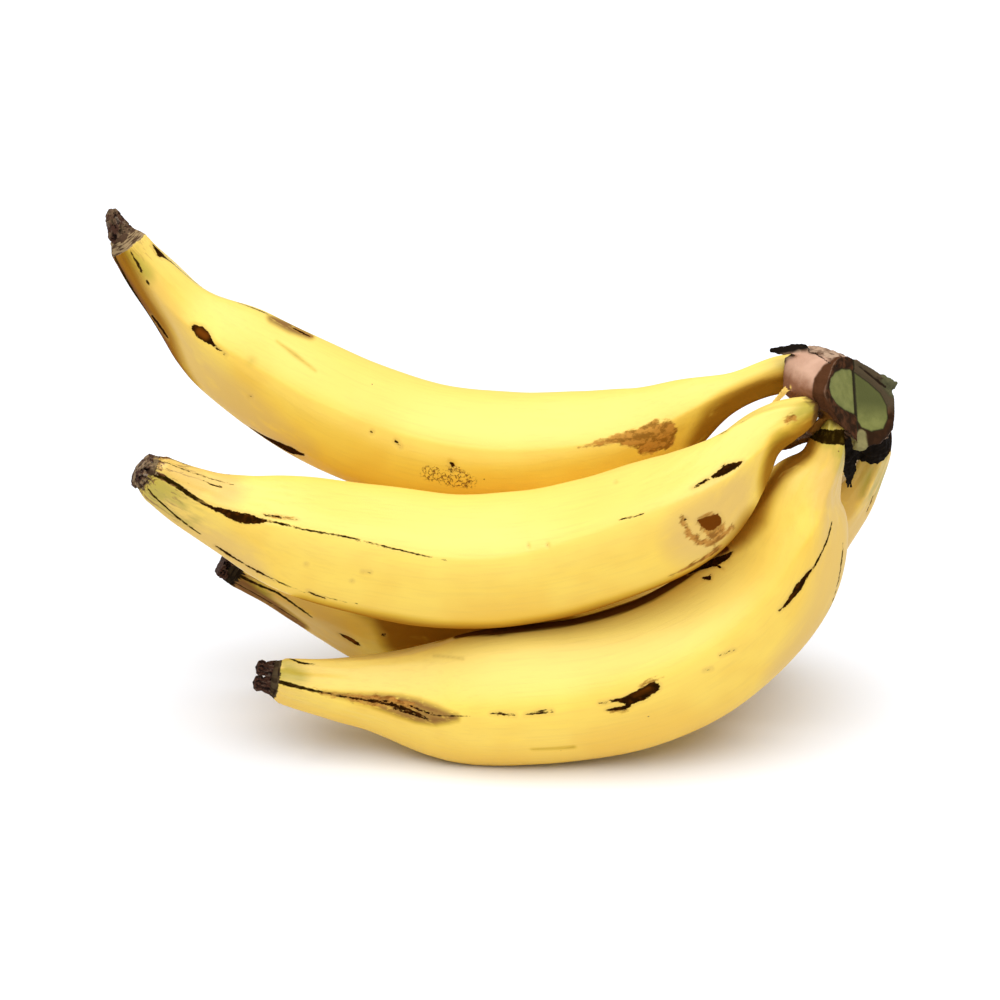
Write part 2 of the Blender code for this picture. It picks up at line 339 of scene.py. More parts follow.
# %% Olive lines along the ridges
OLIVE_LINES = {
    "upper_rear": (
        ((275, -6, 0.15), (270, -10, 0.45), (267, -14, 0.35)), ((263.5, -17, 0.4), (262, -18, 0.3)),
        ((265, 57, 0.4), (258, 66, 0.4), (248, 76, 0.2)),
        ((278, -66, 0.5), (266, -80, 0.7), (252, -86, 0.7), (238, -84, 0.4)),
    ),
    "middle_front": (
        ((254, 14, 1.0), (250, 14, 0.9), (245, 12, 0.8), (238, 5, 0.7), (232, 1, 0.4)),
        ((212, 8, 0.4), (203, 9.5, 0.34), (185, 11, 0.33), (164, 6, 0.3), (145, 2, 0.24)),
        ((237, 48, 0.15), (234, 44, 0.3), (230, 43, 0.3), (231, 46, 0.15)),
        ((252, -35, 0.3), (245, -44, 0.4), (239, -52, 0.4), (230, -57, 0.2)),
        ((205, -53, 0.25), (190, -52, 0.25), (174, -51, 0.15)),
        ((77, 15.5, 0.15), (71.6, 14.5, 0.4), (66, 13.5, 0.15)),
        ((254, 60, 0.2), (240, 58, 0.2), (226, 52, 0.1)),
        ((253, 80, 0.3), (240, 76, 0.2), (228, 74, 0.1)),
    ),
    "lower_front": (
        ((250, -3, 0.6), (246, -4.5, 0.7), (242, -6, 0.5), (235, -8, 0.4)),
        ((235, -8, 0.3), (226, -10, 0.3), (215, -10.5, 0.25)),
        ((50, -26, 0.5), (45, -31, 0.45), (39.5, -38.5, 0.5), (33, -47, 0.3)),
        ((41, -66, 0.2), (48, -64, 0.45), (55, -66, 0.3), (63, -73, 0.3)),
        ((197, -14, 0.2), (188, -13, 0.2), (180, -12, 0.15)),
        ((247, 62, 0.3), (243, 52, 0.4), (238, 50, 0.2)),
        ((6.5, 140, 2.0), (7, 70, 2.1), (6.8, 15, 1.8), (6, -40, 1.9), (5.6, -100, 2.2)),
    ),
    "lower_rear": (
        ((294, -9, 0.6), (284, -9, 0.4), (278, -6, 0.4), (270, -18, 0.3), (262, -28, 0.2)),
        ((292, -50, 0.5), (280, -60, 0.3), (266, -66, 0.2)),
    ),
}
print("olive lines:", sum(len(marks) for marks in OLIVE_LINES.values()))

# %% [markdown]
# Rust is the rough, grainy brown of a patch that has rubbed for weeks. It breaks up into
# grains at its edge, which the shader does with noise.

# %% Rust patches
RUST_PATCHES = {
    "upper_rear": (
        ((90, -2, 0.1), (82, 0, 0.6), (75, 1, 1.6), (68, -4, 3.2), (61, -8, 4.6)),
        ((67, -20, 2.2), (60, -22, 3.4), (57, -10, 3.6)), ((209, 67, 1.0), (204, 66, 0.6)),
    ),
    "middle_front": (
        ((56.5, -6, 1.0), (57.5, -20, 0.8), (57, -34, 1.1), (54, -46, 1.2), (48, -50, 0.9)),
        ((51.5, -22, 2.6), (51.5, -38, 2.8)), ((54, -57, 1.0), (62, -54, 0.6), (68, -54, 0.2)),
        ((211, 15, 0.4), (204, 17, 0.2)), ((13, 1, 1.0), (10.5, 3, 1.3)),
    ),
    "lower_front": (
        ((238, -8, 0.2), (226, -9.5, 0.8), (218, -9, 1.5), (210, -8, 1.6), (203, -9, 1.0)),
        ((130, -19, 0.9), (126, -20, 0.8)), ((119, -5, 0.5), (112, -4, 0.3)),
    ),
}
print("rust patches:", sum(len(marks) for marks in RUST_PATCHES.values()))

# %% [markdown]
# The last marks are soft and fade out over some millimetres: painted shade in deep ochre
# under the necks, between the fruits and on the rear one under the middle fruit, purple-brown
# bruises, dull beige faces that dried early, and the green that ripening leaves by both ends.
# A sore is the middle of a scab that is still brown, and the contact shade line is painted
# shade, a dark maroon line where the middle fruit's edge lies on the lower one. Half a
# width below 0 makes a soft mark weaker. A net is a patch of fine crossing scratches.

# %% Soft marks
# Painted shade: deep ochre under the necks, between the fruits and on the rear lower fruit under the
# middle one.
PAINTED_SHADES = {
    "upper_rear": (
        ((50, -70, 3.0), (40, -55, 3.5), (30, -50, 3.0), (20, -50, 3.0), (4, -40, 3.0)),
        ((279, -62, 3.0), (262, -78, 4.0), (244, -84, 3.6), (230, -88, 1.0)),
    ),
    "middle_front": (
        ((4, -48, 1.5), (12, -66, 2.5), (20, -74, 4.0), (30, -82, 3.0)),
        ((46, -74, 2.0), (92, -74, 2.5), (127, -78, 2.5), (160, -72, 2.0), (190, -70, 0.5)),
    ),
    "lower_front": (
        ((11, 92, 2.0), (20, 78, 2.5), (29, 64, 2.2), (38, 59, 2.2), (47, 62, 1.2), (62, 76, 0.0)),
        ((62, 78, 0.0), (82, 78, 0.0), (127, 82, 0.5), (167, 78, 1.0), (190, 82, 0.5)),
    ),
    "lower_rear": (
        ((250, 40, 3.0), (238, 20, 3.0), (224, 0, 9.0), (205, 0, 14.0), (180, 0, 14.0)),
    ),
}
STAINS = {
    "upper_rear": (
        ((219, 63, 0.3), (212, 65, 1.2), (205, 66, 0.6)),
        ((214, 38, -2.2), (206, 33, -1.6), (197, 27, -2.2)),
        ((279, -86, 1.0), (262, -88, 1.5), (246, -88, 1.5), (232, -86, 0.2)),
    ),
    "middle_front": (
        ((256, 60, 0.5), (254, 110, 1.0)),
    ),
    "lower_front": (
        ((215, -10, 0.6), (207, -12, 2.0), (201, -14, 2.4), (195, -15, 1.8), (186, -14, -0.6)),
        ((234, -8, -1.8), (224, -9, -0.8), (213, -9.5, 0.6), (206, -11, 1.0)),
        ((160, -52, -2.0), (146, -53, -1.6)), ((196, 47, -2.2), (182, 38, -2.2)),
        ((0, 60, -1.0), (2, -20, -1.0)),
    ),
    "lower_rear": (((296, -40, 3.0), (282, -60, 2.0), (264, -80, 1.0)),),
}
BEIGES = {
    "upper_rear": (((262, -50, 2.0), (240, -55, 3.0), (214, -55, 4.0), (190, -60, 2.0)),),
    "middle_front": (
        ((250, -70, 3.0), (236, -66, 4.0), (214, -64, 4.0)),
        ((255, 60, 5.0), (244, 52, 4.0), (230, 44, 3.0)), ((54, -27, 6.0), (44, -28, 5.0)),
    ),
    "lower_front": (
        ((16, -66, 5.0), (30, -70, 8.0), (48, -72, 10.0), (74, -78, 8.0)),
    ),
    "lower_rear": (
        ((16, -20, 12.0), (40, -30, 12.0), (62, -40, 12.0)),
        ((296, 0, 6.0), (276, -40, 6.0), (256, -60, 6.0)),
    ),
}
GREENS = {
    "upper_rear": (((218.5, 2, -2.4),), ((279, -20, 1.0), (266, -14, 0.6))),
    "middle_front": (
        ((255, -20, 3.0), (246, -24, 2.6), (236, -32, 1.0)),
        ((3, 20, 2.0), (12, -20, 0.5), (20, -50, 0.5)),
    ),
    "lower_front": (
        ((251, 34, 2.5), (248, 28, 1.6), (243, 18, 0.2)), ((0, 0, 5.0), (2, 0, 5.0)),
        ((6, -60, 5.0), (10, -60, 3.0)),
    ),
    "lower_rear": (((296, 0, 3.0), (284, -20, 2.0)), ((20, -40, 4.0), (30, -50, 3.0))),
}
NETS = {
    "upper_rear": (((145, -30, 3.0), (136, -30, 4.5), (131, -33, 3.0)),),
    "middle_front": (((254, -150, 1.0), (252, 120, 1.0)),),
}
SORES = {
    "upper_rear": (((239, -6.5, 0.2), (236.5, -5.5, 0.2)), ((197, -70, -1.2), (189, -65, -1.2))),
    "middle_front": (((51, -23, 3.0), (51, -31, 3.0)),),
    "lower_front": (((122, -11, -0.9), (117, -9, -0.6)),),
    "lower_rear": (((248, -35, 0.0), (245, -37, 0.0)),),
}
# Painted shade: a crisp dark maroon line on the lower fruit just under the middle fruit's edge.
CONTACT_SHADE_LINES = {
    "lower_front": (
        ((58, 68, 1.2), (67, 71, 2.0), (76, 74, 2.4), (84, 71, 2.6), (104, 67, 2.8)),
        ((104, 67, 2.8), (127, 66, 2.9), (167, 62, 2.9), (184, 68, 2.0)),
    ),
}
print("soft marks on", list(STAINS))

# %% [markdown]
# The distance from each spot of the peel to a mark is measured along the peel: millimetres
# along the fruit, and round it the angle times the radius there. A mark is a chain of
# straight pieces, so the nearest point on each piece is found and the smallest distance kept.
# Crisp marks stay distances. Soft ones become a share that fades over some millimetres.

# %% Distance to the marks
FAR = 9.0
CRISP_MARKS = {"scab": SCABS, "olive": OLIVE_LINES, "rust": RUST_PATCHES, "net": NETS}
SOFT_MARKS = {
    "shade": (PAINTED_SHADES, 7.0),
    "stain": (STAINS, 3.5),
    "skin_fold_and_contact_shade": (CONTACT_SHADE_LINES, 1.2),
    "beige": (BEIGES, 12.0),
    "green": (GREENS, 6.0),
    "sore": (SORES, 2.0),
}


def wrapped(angles):
    return (angles + np.pi) % FULL_TURN - np.pi


def mark_distance(marks, run, angles, reach):
    """Millimetres from each spot of the peel to the nearest mark, below 0 inside it."""
    nearest = np.full(angles.shape, FAR)
    for mark in marks:
        pieces = list(zip(mark, mark[1:])) or [(mark[0], mark[0])]
        for (start, start_turn, start_width), (end, end_turn, end_width) in pieces:
            middle = math.radians((start_turn + end_turn) / 2)
            half = math.radians(end_turn - start_turn) / 2
            across = (wrapped(angles - middle) + half) * reach
            ahead = run - start
            length = end - start
            rise = 2 * half * reach
            square = np.maximum(length**2 + rise**2, 1e-6)
            share = np.clip((ahead * length + across * rise) / square, 0.0, 1.0)
            gap = np.hypot(ahead - share * length, across - share * rise)
            nearest = np.minimum(nearest, gap - start_width - (end_width - start_width) * share)
    return nearest


def soft_share(distance, softness):
    """1 inside a mark, fading to 0 over softness millimetres."""
    share = np.clip(1.0 - distance / softness, 0.0, 1.0)
    return share * share * (3.0 - 2.0 * share)


def mark_values(key, run, angles, reach):
    """Every kind of mark on one fruit, as a distance or as a soft share."""
    values = {}
    for name, marks in CRISP_MARKS.items():
        values[name] = mark_distance(marks.get(key, ()), run, angles, reach)
    for name, (marks, softness) in SOFT_MARKS.items():
        distance = mark_distance(marks.get(key, ()), run, angles, reach)
        values[name] = soft_share(distance, softness)
    return values


print("kinds of marks:", [*CRISP_MARKS, *SOFT_MARKS])

# %% [markdown]
# ## Relief of the peel
# The peel isn't smooth: a fine seam runs along each ridge, fibres swell into low ribs towards
# both ends, a ringed collar sits below the dried flower, the belly waves a little, and scabs
# have sunk. All of this is moved in the mesh, because it changes the outline as well. Each tip
# has its own collar: how long it is, how ragged its edge, how much of its width is left at the
# end, how black it has dried and how many dried threads run back from it.

# %% Relief of the peel
SEAM_HEIGHT = 0.16
SEAM_WIDTH = 1.0
WAVE_HEIGHT = 0.45
WAVE_SCALE = 0.045
RIB_HEIGHT = 0.5
RIB_SCALE = np.array((0.035, 0.42, 0.42))
RIB_REACH = 34.0
SCAB_DEPTH = 0.28
SCAB_SLOPE = 1.2
COLLAR_HEIGHT = 0.5
COLLAR_SCALE = np.array((1.1, 0.08, 0.08))
COLLAR_LENGTH = 4.0
SKIN_INSET = 0.35
COLLARS = {
    "upper_rear": dict(length=3.4, jag=0.35, left=0.74, char=0.12, threads=0.4),
    "middle_front": dict(length=0.6, jag=1.2, left=0.84, char=0.45, threads=1.0),
    "lower_front": dict(length=1.0, jag=0.4, left=0.84, char=0.8, threads=0.15),
    "lower_rear": dict(length=4.0, jag=1.3, left=0.92, char=0.95, threads=1.0),
}
TIP_TAPER = 3.6
TIP_TAPER_POWER = 1.6
NECKS = {
    "upper_rear": dict(taper=3.5, left=0.75),
    "middle_front": dict(taper=11.0, left=0.60),
    "lower_front": dict(taper=3.5, left=0.85),
    "lower_rear": dict(taper=3.5, left=0.80),
}


def bumps(place, scale):
    """Smooth noise between about -0.5 and 0.5 at each place, in cells of 1 / scale millimetres."""
    rows = (place * scale).reshape(-1, 3)
    return np.array([noise.noise(Vector(row)) for row in rows]).reshape(place.shape[:-1])


def rough_bumps(place, scale, fine_scale):
    return bumps(place, scale) + 0.5 * bumps(place, fine_scale)


def straightened(line, angles, radii):
    """Places on the fruit as if its middle line were straight, so that noise follows it."""
    run = np.broadcast_to(line["run"][:, None], angles.shape)
    return np.stack((run, radii * np.cos(angles), radii * np.sin(angles)), axis=-1)


def ridge_share(line, angles, radii):
    """1 on each of the five ridges, fading to 0 over about a millimetre."""
    step = FULL_TURN / len(FACE_REACH)
    turn = line["turn"][:, None]
    away = (angles - turn + step / 2) % step - step / 2
    return np.exp(-((away * radii / SEAM_WIDTH) ** 2))


def tip_share(line, left):
    """How much of the fruit's width is left near its tip."""
    to_end = line["run"][-1] - line["run"][:, None]
    return 1.0 - (1.0 - left) * np.clip(1.0 - to_end / TIP_TAPER, 0.0, 1.0) ** TIP_TAPER_POWER


def neck_share(line, taper, left):
    """How much of the fruit's width is left near its neck's start."""
    return 1.0 - (1.0 - left) * np.clip(1.0 - line["run"][:, None] / taper, 0.0, 1.0) ** 2


def relief(line, place, ridges, scab):
    run = line["run"][:, None]
    left = run[-1] - run
    near_end = np.maximum(np.exp(-run / RIB_REACH), np.exp(-left / RIB_REACH))
    waves = bumps(place, WAVE_SCALE) * WAVE_HEIGHT
    ribs = bumps(place, RIB_SCALE) * RIB_HEIGHT * near_end
    rings = bumps(place, COLLAR_SCALE) * np.exp(-left / COLLAR_LENGTH)
    sunk = soft_share(scab, SCAB_SLOPE) * SCAB_DEPTH
    return ridges * SEAM_HEIGHT + waves + ribs + rings * COLLAR_HEIGHT - sunk - SKIN_INSET


print("collars:", {fruit: collar["length"] for fruit, collar in COLLARS.items()}, "mm")

# %% [markdown]
# ## Fruits as fine meshes
# Each fruit is a grid of rings and sides, closed by a rounded end. The distances to the marks
# are kept on its points as named values, together with the straightened places, so that the
# peel's material can read both.

# %% Fruits as fine meshes
PEEL_RINGS = 420
PEEL_SIDES = 180
END_STEPS = ((0.5, 0.985), (0.9, 0.94), (1.2, 0.84), (1.4, 0.66), (1.5, 0.4))
BOX_INSET = 0.05


def inside_box(places):
    """The places, none of them outside the box that the solids fill."""
    low, high = (np.array(corner) / MM for corner in solid_box)
    return np.clip(places, low + BOX_INSET, high - BOX_INSET)


def sheet_faces(rings, sides):
    """Four-sided faces between the rings, which are numbered ring by ring."""
    corner = np.arange((rings - 1) * sides).reshape(rings - 1, sides)
    after = np.roll(corner, -1, axis=1)
    return np.stack((corner, after, after + sides, corner + sides), axis=-1).reshape(-1, 4)


def closing_faces(rings, sides, first, last):
    side = np.arange(sides)
    after = np.roll(side, -1)
    base = (rings - 1) * sides
    near = [(int(b), int(a), first) for a, b in zip(side, after)]
    far = [(int(base + a), int(base + b), last) for a, b in zip(side, after)]
    return near + far


def mesh_from_sheet(name, sheet, start, end):
    rings, sides = sheet.shape[:2]
    points = np.concatenate((sheet.reshape(-1, 3), start[None], end[None])) * MM
    faces = [tuple(face) for face in sheet_faces(rings, sides).tolist()]
    faces += closing_faces(rings, sides, rings * sides, rings * sides + 1)
    mesh = bpy.data.meshes.new(name)
    mesh.from_pydata(points.tolist(), [], faces)
    mesh.shade_smooth()
    mesh.update()
    return mesh


def keep_values(mesh, name, values):
    """Stores one number, or one place, on each point of the mesh under a name."""
    values = np.asarray(values, np.float32)
    kind, field = ("FLOAT_VECTOR", "vector") if values.ndim == 2 else ("FLOAT", "value")
    attribute = mesh.attributes.new(name, kind, "POINT")
    attribute.data.foreach_set(field, values.reshape(-1))


def on_every_point(values):
    """A ring-by-ring sheet of values, with the closing points given their ring's mean."""
    flat = values.reshape(-1, *values.shape[2:])
    ends = values[0].mean(axis=0, keepdims=True), values[-1].mean(axis=0, keepdims=True)
    return np.concatenate((flat, *ends))


def dress(piece, node, look):
    """Gives the piece its material, hangs it under the root and hides the solid it stands for."""
    piece.data.materials.append(look)
    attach(piece, "root")
    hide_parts(node)
    return piece


def end_values(line, shape, collar):
    """How far each spot is from both ends, and how its tip has dried."""
    run = line["run"][:, None]
    left = run[-1] - run
    values = dict(from_neck=run, from_tip=left, collar=(left - collar["length"]) / collar["jag"])
    values.update(char=collar["char"], threads=collar["threads"])
    return {name: np.broadcast_to(value, shape) for name, value in values.items()}


def rounded_end(sheet, line):
    """The sheet with smaller and smaller rings past its tip, and the point that closes it."""
    tip = line["middle"][-1]
    forward = line["along"][-1]
    rings = [tip + forward * past + (sheet[-1] - tip) * share for past, share in END_STEPS]
    return np.concatenate((sheet, rings)), tip + forward * END_STEPS[-1][0]


def add_fruit(key, look):
    line, angles, radii = fruit_sheet(key, PEEL_RINGS, PEEL_SIDES)
    reach = line["radius"][:, None]
    place = straightened(line, angles, radii)
    across = outward(line["front"][:, None], line["upper"][:, None], angles)
    values = mark_values(key, line["run"][:, None], angles, reach)
    values.update(end_values(line, angles.shape, COLLARS[key]))
    values.update(upward=across[..., 2], place=place)
    radii = radii + relief(line, place, ridge_share(line, angles, radii), values["scab"])
    neck = neck_share(line, **NECKS[key])
    radii = radii * neck * tip_share(line, COLLARS[key]["left"])
    sheet = line["middle"][:, None] + across * radii[..., None]
    sheet = sheet + (line["upper"] * reach * (1.0 - neck))[:, None]
    sheet, end = rounded_end(sheet, line)
    mesh = mesh_from_sheet(f"peel_{key}", inside_box(sheet), line["middle"][0], end)
    for name, value in values.items():
        extra = np.repeat(value[-1:], len(END_STEPS), axis=0)
        keep_values(mesh, name, on_every_point(np.concatenate((value, extra))))
    return dress(add_object(f"peel_{key}", mesh), f"finger_{key}", look)


print("points on each fruit:", (PEEL_RINGS + len(END_STEPS)) * PEEL_SIDES + 2)

# %% [markdown]
# ## Small tools for materials
# A material is a chain of nodes. These helpers add a node, feed its sockets with a number or
# with another node's output, and read the values that were kept on a mesh. They keep the
# recipes below short enough to read as recipes.

# %% Small tools for materials
BUMP_HEIGHT = 0.0003


def feed(tree, socket, value):
    if isinstance(value, bpy.types.NodeSocket):
        tree.links.new(value, socket)
    else:
        socket.default_value = value


def add_node(tree, kind, values=None, **settings):
    made = tree.nodes.new(kind)
    for name, setting in settings.items():
        setattr(made, name, setting)
    for socket, value in (values or {}).items():
        feed(tree, made.inputs[socket], value)
    return made


def calc(tree, operation, first, second=0.0, clamp=False):
    values = {0: first, 1: second}
    return add_node(tree, "ShaderNodeMath", values, operation=operation, use_clamp=clamp).outputs[0]


def plus(tree, first, second):
    return calc(tree, "ADD", first, second)


def minus(tree, first, second):
    return calc(tree, "SUBTRACT", first, second)


def times(tree, first, second):
    return calc(tree, "MULTIPLY", first, second)


def most(tree, first, *others):
    for other in others:
        first = calc(tree, "MAXIMUM", first, other)
    return first


def fade(tree, value, start, end):
    """0 at start and 1 at end, smooth between them; start may be the larger one."""
    values = {"Value": value, "From Min": start, "From Max": end}
    made = add_node(tree, "ShaderNodeMapRange", values, interpolation_type="SMOOTHSTEP")
    return made.outputs[0]


def tint(tree, mask, first, second, share=1.0):
    """The first colour, changed by share into the second where the mask is 1."""
    if share < 1.0:
        mask = times(tree, mask, share)
    colors = [(*c, 1.0) if isinstance(c, tuple) else c for c in (first, second)]
    made = add_node(tree, "ShaderNodeMix", {0: mask, 6: colors[0], 7: colors[1]}, data_type="RGBA")
    return made.outputs[2]


def kept(tree, name, output="Fac"):
    """A number, or with the output Vector a place, that is kept on the mesh."""
    return add_node(tree, "ShaderNodeAttribute", attribute_name=name).outputs[output]


def cloud(tree, place, scale, detail=2.0, roughness=0.5):
    values = {"Vector": place, "Scale": scale, "Detail": detail, "Roughness": roughness}
    return add_node(tree, "ShaderNodeTexNoise", values).outputs[0]


def new_group(name, inputs, outputs):
    tree = bpy.data.node_groups.new(name, "ShaderNodeTree")
    for label, default in inputs.items():
        kind = "NodeSocketVector" if default is None else "NodeSocketFloat"
        socket = tree.interface.new_socket(label, in_out="INPUT", socket_type=kind)
        if default is not None:
            socket.default_value = default
    for label in outputs:
        tree.interface.new_socket(label, in_out="OUTPUT", socket_type="NodeSocketFloat")
    return tree, tree.nodes.new("NodeGroupInput").outputs, tree.nodes.new("NodeGroupOutput").inputs


def use_group(tree, group, **values):
    made = tree.nodes.new("ShaderNodeGroup")
    made.node_tree = group
    for label, value in values.items():
        feed(tree, made.inputs[label], value)
    return made.outputs[0]


def new_material(name):
    made = bpy.data.materials.new(name)
    made.use_nodes = True
    tree = made.node_tree
    return made, tree, tree.nodes["Principled BSDF"].inputs, kept(tree, "place", "Vector")


def emboss(tree, shader, strength, height):
    values = {"Strength": strength, "Distance": BUMP_HEIGHT, "Height": height}
    feed(tree, shader["Normal"], add_node(tree, "ShaderNodeBump", values).outputs[0])


print("tools:", [tool.__name__ for tool in (calc, fade, tint, kept, cloud, use_group, emboss)])

# %% [markdown]
# ## Effects that the materials share
# Peel, crown and dried flower are all plant fibre, so they share some effects. One cuts a
# kept distance into a mark with a ragged edge, one draws fibres that run along the fruit, one
# scatters small specks and one draws thin crossing scratches. Each is a node group with its
# own dials. Noise is first drawn out along the fruit, because its fibres lead every mark.

# %% Ragged marks, fibres, specks and scratches
def drawn_out(tree, place, stretch):
    """The place, with noise cells that are 1 / stretch times as long along the fruit."""
    values = {0: place, 1: (stretch, 1.0, 1.0)}
    return add_node(tree, "ShaderNodeVectorMath", values, operation="MULTIPLY").outputs[0]


def make_ragged_mark():
    inputs = {"Distance": 0.0, "Place": None, "Raggedness": 0.8, "Grain": 1.0, "Softness": 0.15}
    tree, given, result = new_group("ragged mark", inputs, ["Mask"])
    edge = cloud(tree, drawn_out(tree, given["Place"], 0.4), given["Grain"], 4.0, 0.65)
    shift = times(tree, minus(tree, edge, 0.5), given["Raggedness"])
    depth = plus(tree, given["Distance"], shift)
    inside = times(tree, given["Softness"], -1.0)
    feed(tree, result["Mask"], fade(tree, depth, given["Softness"], inside))
    return tree


def make_fibres():
    inputs = {"Place": None, "Fineness": 0.8, "Threshold": 0.55, "Softness": 0.08}
    tree, given, result = new_group("fibres", inputs, ["Mask"])
    threads = cloud(tree, drawn_out(tree, given["Place"], 0.05), given["Fineness"], 3.0, 0.6)
    high = plus(tree, given["Threshold"], given["Softness"])
    feed(tree, result["Mask"], fade(tree, threads, given["Threshold"], high))
    return tree


def make_specks():
    inputs = {"Place": None, "Grain": 0.4, "Share": 0.05, "Size": 0.2}
    tree, given, result = new_group("specks", inputs, ["Mask"])
    values = {"Vector": given["Place"], "Scale": given["Grain"]}
    cells = add_node(tree, "ShaderNodeTexVoronoi", values)
    chance = add_node(tree, "ShaderNodeSeparateColor", {0: cells.outputs["Color"]}).outputs[0]
    chosen = calc(tree, "LESS_THAN", chance, given["Share"])
    size = times(tree, given["Size"], 0.6)
    spot = fade(tree, cells.outputs["Distance"], given["Size"], size)
    feed(tree, result["Mask"], times(tree, spot, chosen))
    return tree


def make_scratches():
    inputs = {"Place": None, "Grain": 0.6, "Width": 0.035, "Gaps": 0.5}
    tree, given, result = new_group("scratches", inputs, ["Mask"])
    wander = cloud(tree, given["Place"], 0.9, 3.0)
    values = {0: given["Place"], 1: wander}
    moved = add_node(tree, "ShaderNodeVectorMath", values, operation="ADD").outputs[0]
    first = cloud(tree, moved, given["Grain"], 2.0)
    narrow = calc(tree, "ABSOLUTE", minus(tree, first, 0.5))
    lines = fade(tree, narrow, given["Width"], 0.0)
    wide = plus(tree, given["Gaps"], 0.06)
    broken = fade(tree, cloud(tree, moved, 1.3, 3.0), given["Gaps"], wide)
    feed(tree, result["Mask"], times(tree, lines, broken))
    return tree


ragged_mark = make_ragged_mark()
fibres = make_fibres()
specks = make_specks()
scratches = make_scratches()


def ragged(tree, place, distance, raggedness, grain=1.0, softness=0.15):
    """A distance, or the name of a kept one, cut into a mark with a ragged edge."""
    if isinstance(distance, str):
        distance = kept(tree, distance)
    dials = dict(Raggedness=raggedness, Grain=grain, Softness=softness)
    return use_group(tree, ragged_mark, Distance=distance, Place=place, **dials)


print("groups:", [group.name for group in bpy.data.node_groups])

# %% [markdown]
# ## The ripe peel
# Ripe plantain peel is a warm yellow that is never even, and dried faces are beige. Faces
# that look up get a painted light, paler and more lemon, and faces that look down a painted
# shade of deeper gold. On top of it come the soft marks, the rust, the net, the olive lines
# and, last, the scabs, which are nearly black and sit in a pale halo. Peel is waxy, so it
# shines softly, and every mark on it is dull.

# %% The ripe peel
GOLD = (0.87, 0.55, 0.055)
LEMON = (0.93, 0.66, 0.085)
# Painted light on faces that look up, and painted shade on faces that look down.
PAINTED_LIGHT_YELLOW = (0.95, 0.73, 0.16)
PAINTED_SHADE_GOLD = (0.80, 0.46, 0.030)
BEIGE = (0.71, 0.46, 0.115)
OCHRE = (0.55, 0.33, 0.07)
# Colour of the painted shade marks.
PAINTED_SHADE_OCHRE = (0.30, 0.115, 0.006)
END_GREEN = (0.40, 0.335, 0.030)
# Colour of the painted shade line under the middle fruit's edge.
CONTACT_SHADE_DARK = (0.075, 0.010, 0.001)
STAIN_BROWN = (0.19, 0.075, 0.030)
RUST_PALE = (0.46, 0.190, 0.036)
RUST_BROWN = (0.19, 0.055, 0.007)
OLIVE_DARK = (0.018, 0.009, 0.001)
OLIVE_LIGHT = (0.056, 0.034, 0.004)
SCAB_DARK = (0.018, 0.006, 0.001)
SCAB_BROWN = (0.145, 0.038, 0.003)
NECK_BROWN = (0.13, 0.060, 0.014)
COLLAR_TAN = (0.36, 0.25, 0.13)
COLLAR_BROWN = (0.085, 0.048, 0.028)
CHAR = (0.008, 0.005, 0.003)
PEEL_ROUGHNESS = 0.42
MARK_ROUGHNESS = 0.8
PEEL_GLOSS = 0.42
MARK_GLOSS = 0.0


def ripe_yellow(tree, place):
    """The peel's own colour, with painted light above and painted shade below, before any mark."""
    color = tint(tree, fade(tree, cloud(tree, place, 0.035), 0.35, 0.68), GOLD, LEMON)
    upward = kept(tree, "upward")
    # Painted light: faces that look up are paler.
    color = tint(tree, fade(tree, upward, -0.05, 0.75), color, PAINTED_LIGHT_YELLOW, 0.9)
    # Painted shade: faces that look down turn a deeper gold.
    color = tint(tree, fade(tree, upward, -0.15, -0.9), color, PAINTED_SHADE_GOLD, 0.6)
    threads = use_group(tree, fibres, Place=place, Fineness=0.9, Threshold=0.45, Softness=0.25)
    return tint(tree, threads, color, OCHRE, 0.09)


def soft_marks(tree, place, color):
    """A dry tip, then beige, green, painted shade, stains and the painted contact shade line, thinned
    by drawn out noise.
    """
    color = tint(tree, fade(tree, kept(tree, "from_tip"), 26.0, 1.0), color, BEIGE, 0.35)
    slow = cloud(tree, drawn_out(tree, place, 0.3), 0.22, 3.0)
    streaky = cloud(tree, drawn_out(tree, place, 0.15), 0.8, 4.0, 0.6)
    for name, share, uneven, low, high, shade in (
        ("beige", 0.85, slow, 0.1, 0.5, BEIGE),
        ("green", 0.75, slow, 0.3, 0.55, END_GREEN),
        ("shade", 0.92, slow, 0.05, 0.4, PAINTED_SHADE_OCHRE),
        ("stain", 0.9, streaky, 0.18, 0.48, STAIN_BROWN),
        ("skin_fold_and_contact_shade", 0.95, slow, -1.0, -0.5, CONTACT_SHADE_DARK),
    ):
        mask = times(tree, kept(tree, name), fade(tree, uneven, low, high))
        color = tint(tree, mask, color, shade, share)
    return color


def hard_marks(tree, place, color):
    """Rust, nets, olive lines and scabs. Gives the colour and how much of it is marked."""
    grains = fade(tree, cloud(tree, drawn_out(tree, place, 0.5), 0.5, 5.0, 0.7), 0.44, 0.58)
    rust = ragged(tree, place, "rust", 4.6, 0.7, 0.6)
    worn = tint(tree, grains, RUST_PALE, RUST_BROWN)
    color = tint(tree, rust, color, worn, 0.85)
    net = use_group(tree, scratches, Place=place, Grain=0.6, Width=0.07, Gaps=0.36)
    net = times(tree, ragged(tree, place, "net", 2.0, softness=0.8), net)
    color = tint(tree, net, color, SCAB_BROWN)
    olive = ragged(tree, place, "olive", 1.1, 1.3)
    sap = tint(tree, fade(tree, cloud(tree, place, 0.6, 4.0), 0.5, 0.72), OLIVE_DARK, OLIVE_LIGHT)
    color = tint(tree, olive, color, sap)
    distance = kept(tree, "scab")
    color = tint(tree, fade(tree, distance, 1.5, 0.1), color, OCHRE, 0.28)
    scab = ragged(tree, place, distance, 1.8, 1.3)
    thin = times(tree, fade(tree, cloud(tree, place, 0.6, 3.0), 0.45, 0.7), 0.25)
    crust = tint(tree, most(tree, thin, kept(tree, "sore")), SCAB_DARK, SCAB_BROWN)
    return tint(tree, scab, color, crust), most(tree, rust, olive, scab)


